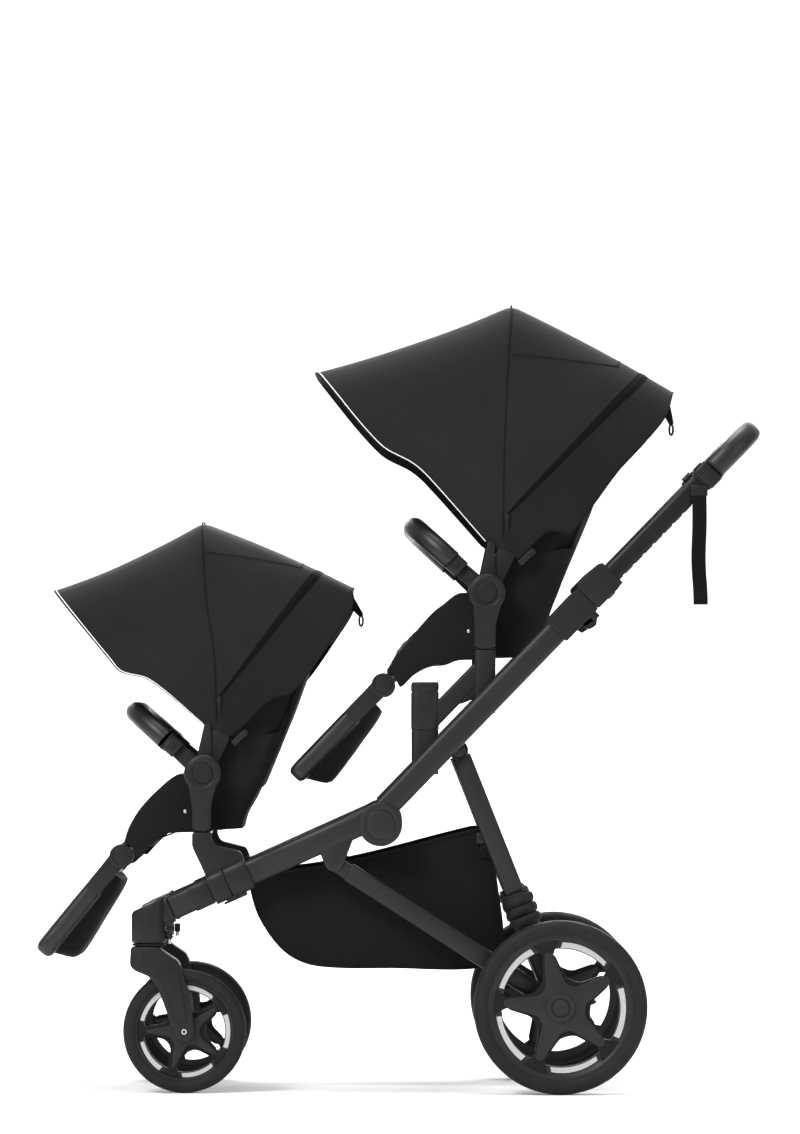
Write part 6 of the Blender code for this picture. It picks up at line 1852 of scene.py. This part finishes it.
def canopy(name, hub, front, ridge, rear, dips, zip_line, vent, tail, wedge, headrest):
    lines = [smooth_path(line, 60) for line in (front, ridge, rear)]
    bow = canopy_bow()

    def skin(panel, share, column, lift=0.0):
        """A place on the sheet: the share across a panel, at a column of the bow that may be a fraction."""
        k = min(int(column), len(bow) - 2)
        t = column - k
        s, y, up = (a + (b - a) * t for a, b in zip(bow[k], bow[k + 1]))
        a, b = along_line(lines[panel], s), along_line(lines[panel + 1], s)
        at = a.lerp(b, share)
        crease = noise.noise(Vector((6 * at.x, 3 * y, 6 * at.y + panel))) * 0.0016 * sin(pi * share)
        raised = lift * (0.25 + 0.75 * max(0.0, (s - 0.8) / 0.2))
        out = up - dips[panel] * s * 4 * share * (1 - share) + raised + crease
        at = at + at.normalized() * out
        side = -1 if y < 0 else 1
        swell = 0.0022 * sin(pi * share) * sin(pi * min(s, 1.0))
        wide = y + side * lift * (1.0 if s < 0.93 else 0.3) + side * swell
        return Vector((hub[0] + at.x, wide, hub[1] + at.y))

    fore, aft, last = 18, 14, len(bow) - 1

    def place(i, j):
        return skin(0, i / fore, j) if i <= fore else skin(1, (i - fore) / aft, j)

    sheet = grid_cloth(fore + aft, last, place)
    area = cloth_area(sheet)
    flat = cut_size(fore + aft, last, place)
    first = next(k for k in range(len(bow)) if bow[k][0] >= 0.68)

    def closing_place(i, j):
        """From the canopy's rear edge down to the backrest's top edge, which is a little narrower."""
        edge_spot = skin(1, 1.0, first + (last - 2 * first) * j / 30)
        top_edge = Vector((hub[0] + headrest[0], max(-0.138, min(0.138, edge_spot.y)),
                           hub[1] + headrest[1]))
        return edge_spot.lerp(top_edge, i / 6)

    closing = grid_cloth(6, 30, closing_place)
    area += cloth_area(closing)
    thicken(closing, 0.0010, 0.0)
    # The closing sheet takes the darker copy of the cloth as painted shade.
    coat(closing, CANOPY_PAINTED_SHADE)
    reshape(sheet, "finer", "SUBSURF", levels=1, render_levels=1)
    thicken(sheet, 0.0011, -1.0)
    coat(sheet, CANOPY_CLOTH)
    sheet.data.materials.append(CANOPY_PAINTED_SHADE)
    # Faces behind the zip line take the darker copy of the cloth, as painted shade on the rear panel.
    (x0, z0), (x1, z1) = shifted(hub, zip_line)
    for face in sheet.data.polygons:
        x, y, z = face.center
        beyond = (x - x0) * (z1 - z0) - (z - z0) * (x1 - x0) > 0
        if beyond and x > hub[0] + 0.030:
            face.material_index = 1
    trim = [closing]
    columns = [last * i / 120 for i in range(121)]
    edge = [skin(0, 0.0, c, 0.0002) for c in columns[1:-1]]
    inside = [skin(0, 0.0105, c, 0.0011) for c in columns[1:-1]]
    trim.append(coat(swept_rod(edge, 0.0015, 8), BINDING))
    trim.append(coat(swept_rod(inside, 0.0009, 8), WHITE_CORD))
    trim.append(coat(swept_rod([skin(1, 1.0, c, 0.0) for c in columns[1:-1]], 0.0013, 8), BINDING))
    trim.append(coat(swept_rod([skin(1, 0.0, c, 0.0004) for c in columns[2:-2]], 0.0013, 8), BINDING))

    def panel_share(line, c):
        """How far across the rear panel a straight side-view line crosses the bow's column."""
        (x0, z0), (x1, z1) = line
        low, high = 0.0, 1.0
        for _ in range(24):
            middle = 0.5 * (low + high)
            place = skin(1, middle, c)
            off = (place.x - hub[0] - x0) * (z1 - z0) - (place.z - hub[1] - z0) * (x1 - x0)
            low, high = (middle, high) if off < 0 else (low, middle)
        return 0.5 * (low + high)

    def strip(path, width, lifts, finish):
        """A narrow band sewn on the rear panel along a path of (share, column)."""
        over = len(lifts) - 1
        spread = 1 / 0.30
        made = grid_cloth(len(path) - 1, over,
                          lambda i, j: skin(1,
                                            min(1.0, max(0.0,
                                                         path[i][0] + (j / over - 0.5) * width * spread)),
                                            path[i][1], lifts[j]))
        thicken(made, 0.0008, -1.0)
        trim.append(coat(made, finish))

    zip_path = []
    for c in columns:
        mirror = min(c, last - c)
        share = panel_share(zip_line, mirror)
        if share > 0.012:
            zip_path.append((min(share, 0.86), c))
    strip(zip_path, 0.0165, [0.0002, 0.0008, 0.0009, 0.0008, 0.0002], ZIP_TAPE)
    strip(zip_path, 0.0026, [0.0009, 0.0015, 0.0009], ZIP_TAPE)
    flap_path = []
    for i in range(31):
        share = 0.02 + 0.64 * i / 30
        s_here = vent[0] + (vent[1] - vent[0]) * i / 30
        k = next(k for k in range(1, len(bow) // 2 + 1) if bow[k][0] >= s_here or k == len(bow) // 2)
        a, b = bow[k - 1][0], bow[k][0]
        flap_path.append((share, k - 1 + min(1.0, max(0.0, (s_here - a) / (b - a + 1e-6)))))
    for flip in (False, True):
        path = [(share, last - c if flip else c) for share, c in flap_path]
        strip(path, 0.0034, [0.0003, 0.0012, 0.0003], BINDING)
    top = [(0.66, c) for c in columns if flap_path[-1][1] <= c <= last - flap_path[-1][1]]
    strip(top, 0.0034, [0.0003, 0.0012, 0.0003], BINDING)
    for side in (-1, 1):
        x, z = hub[0] + zip_line[0][0], hub[1] + zip_line[0][1]
        y = 0.1922 * side
        slider = soft_block((x - 0.0035, y - 0.0016, z - 0.0110), (x + 0.0035, y + 0.0016, z + 0.0020),
                            0.0010, 2)
        tab = soft_block((x - 0.0026, y + 0.0006 * side - 0.0008, z - 0.0265),
                         (x + 0.0022, y + 0.0006 * side + 0.0008, z - 0.0095),
                         0.0006, 2)
        eye = turned_boss((x - 0.0002, z - 0.0055), 0.0046, y, y + 0.0020 * side, ((0.0012, 0.0004),), 24,
                          0.0003)
        trim += [coat(slider, ZIP_BLACK), coat(tab, ZIP_BLACK), coat(eye, ZIP_BLACK)]
    (x0, z0), (x1, z1) = shifted(hub, tail)
    tab = cut_plate(round_outline([(x0 - 0.0125, z0 + 0.004), (x0 + 0.0020, z0 + 0.014),
                                   (x1 + 0.0040, z1 + 0.022),
                                   (x1 - 0.0030, z1 + 0.018)], 0.002, 3), -0.0012, 0.0012, 0.0004)
    ring = swept_rod([(x1 - 0.0006 + 0.0032 * cos(a), 0.0, z1 + 0.0120 + 0.0090 * sin(a))
                      for a in (2 * pi * i / 20 for i in range(20))], 0.0021, 8, closed=True)
    trim += [coat(tab, BINDING), coat(ring, ZIP_BLACK)]
    weld_on(sheet, *trim)
    label(sheet, name + "_canopy", [name + "_canopy_front", name + "_canopy_rear"], 40)
    start, end = shifted(hub, wedge)
    across(start, 0.0)
    across(end, 0.0)
    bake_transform(sheet)


def canopy_bows(name, hub, front_tip, rear_tip, clip):
    """Flat nylon blades that carry the two bows from the hub pins, and the clips at the canopy's foot."""
    for word, body, tip, near, far, wide in (("hood_bows", "hood", front_tip, 0.1913, 0.1944, 0.0110),
                                             ("rear_bows", "back", rear_tip, 0.1868, 0.1899, 0.0300)):
        lean, run = atan2(tip[1], tip[0]), hypot(*tip)
        blades = []
        for side in (-1, 1):
            outline = [from_point(hub, lean, s, h) for s, h in
                       ((0.0, -0.0160), (run, -0.5 * wide), (run, 0.5 * wide), (0.0, 0.0160),
                        (-0.0150, 0.0))]
            blade = cut_plate(round_outline(outline, 0.006, 5), near * side, far * side, 0.0008)
            carve(blade, turned_boss(hub, 0.0066, side * 0.18, side * 0.2, (), 28, 0))
            blades.append(coat(blade, DARK_NYLON))
            if body == "back":
                plate = cut_plate(round_outline(shifted(hub, clip), 0.0020, 3), 0.1885 * side,
                                  0.1909 * side, 0.0007)
                blades.append(coat(plate, PLASTIC))
        weld_on(blades[0], *blades[1:])
        hand_over(blades[0], "%s_%s" % (name, word), "%s_%s" % (name, body), [])


canopy_bows("main", MAIN_HUB, (0.008, 0.086), (0.035, 0.070),
            [(0.0516, 0.0523), (0.0774, 0.0752), (0.0840, 0.0680), (0.0582, 0.0450)])
canopy_bows("sibling", SIBLING_HUB, (0.008, 0.084), (0.032, 0.068),
            [(0.0466, 0.0523), (0.0700, 0.0735), (0.0766, 0.0665), (0.0530, 0.0455)])
canopy("main", MAIN_HUB,
       [(0.004, 0.079), (-0.097, 0.192), (-0.124, 0.216), (-0.180, 0.248), (-0.2845, 0.3704)],
       [(0.0270, 0.0690), (0.029, 0.220), (0.0335, 0.330), (0.038, 0.420), (0.0429, 0.4832)],
       [(0.0537, 0.0562), (0.1066, 0.1066), (0.1359, 0.0982), (0.1678, 0.1334), (0.2215, 0.2056),
        (0.297, 0.2911), (0.3137, 0.3378)], (0.008, -0.004), ((0.0342, 0.1301), (0.2697, 0.3720)),
       (0.800, 0.975), ((0.3120, 0.3100), (0.3166, 0.2686)), ((0.180, 0.415), (0.048, 0.470)),
       (0.2415, 0.2980))
canopy("sibling", SIBLING_HUB,
       [(0.005, 0.078), (-0.090, 0.156), (-0.138, 0.170), (-0.157, 0.191), (-0.2508, 0.3045)],
       [(0.0235, 0.0690), (0.018, 0.200), (0.005, 0.290), (0.000, 0.370), (-0.0032, 0.4177)],
       [(0.0460, 0.0620), (0.0710, 0.0830), (0.1130, 0.1230), (0.1510, 0.1370), (0.2262, 0.2392),
        (0.2500, 0.2817), (0.2477, 0.3087)], (0.008, -0.004), ((0.0270, 0.1262), (0.1938, 0.3400)),
       (0.868, 0.985), ((0.2500, 0.2817), (0.2637, 0.2455)), ((0.150, 0.360), (0.010, 0.408)),
       (0.2057, 0.2430))
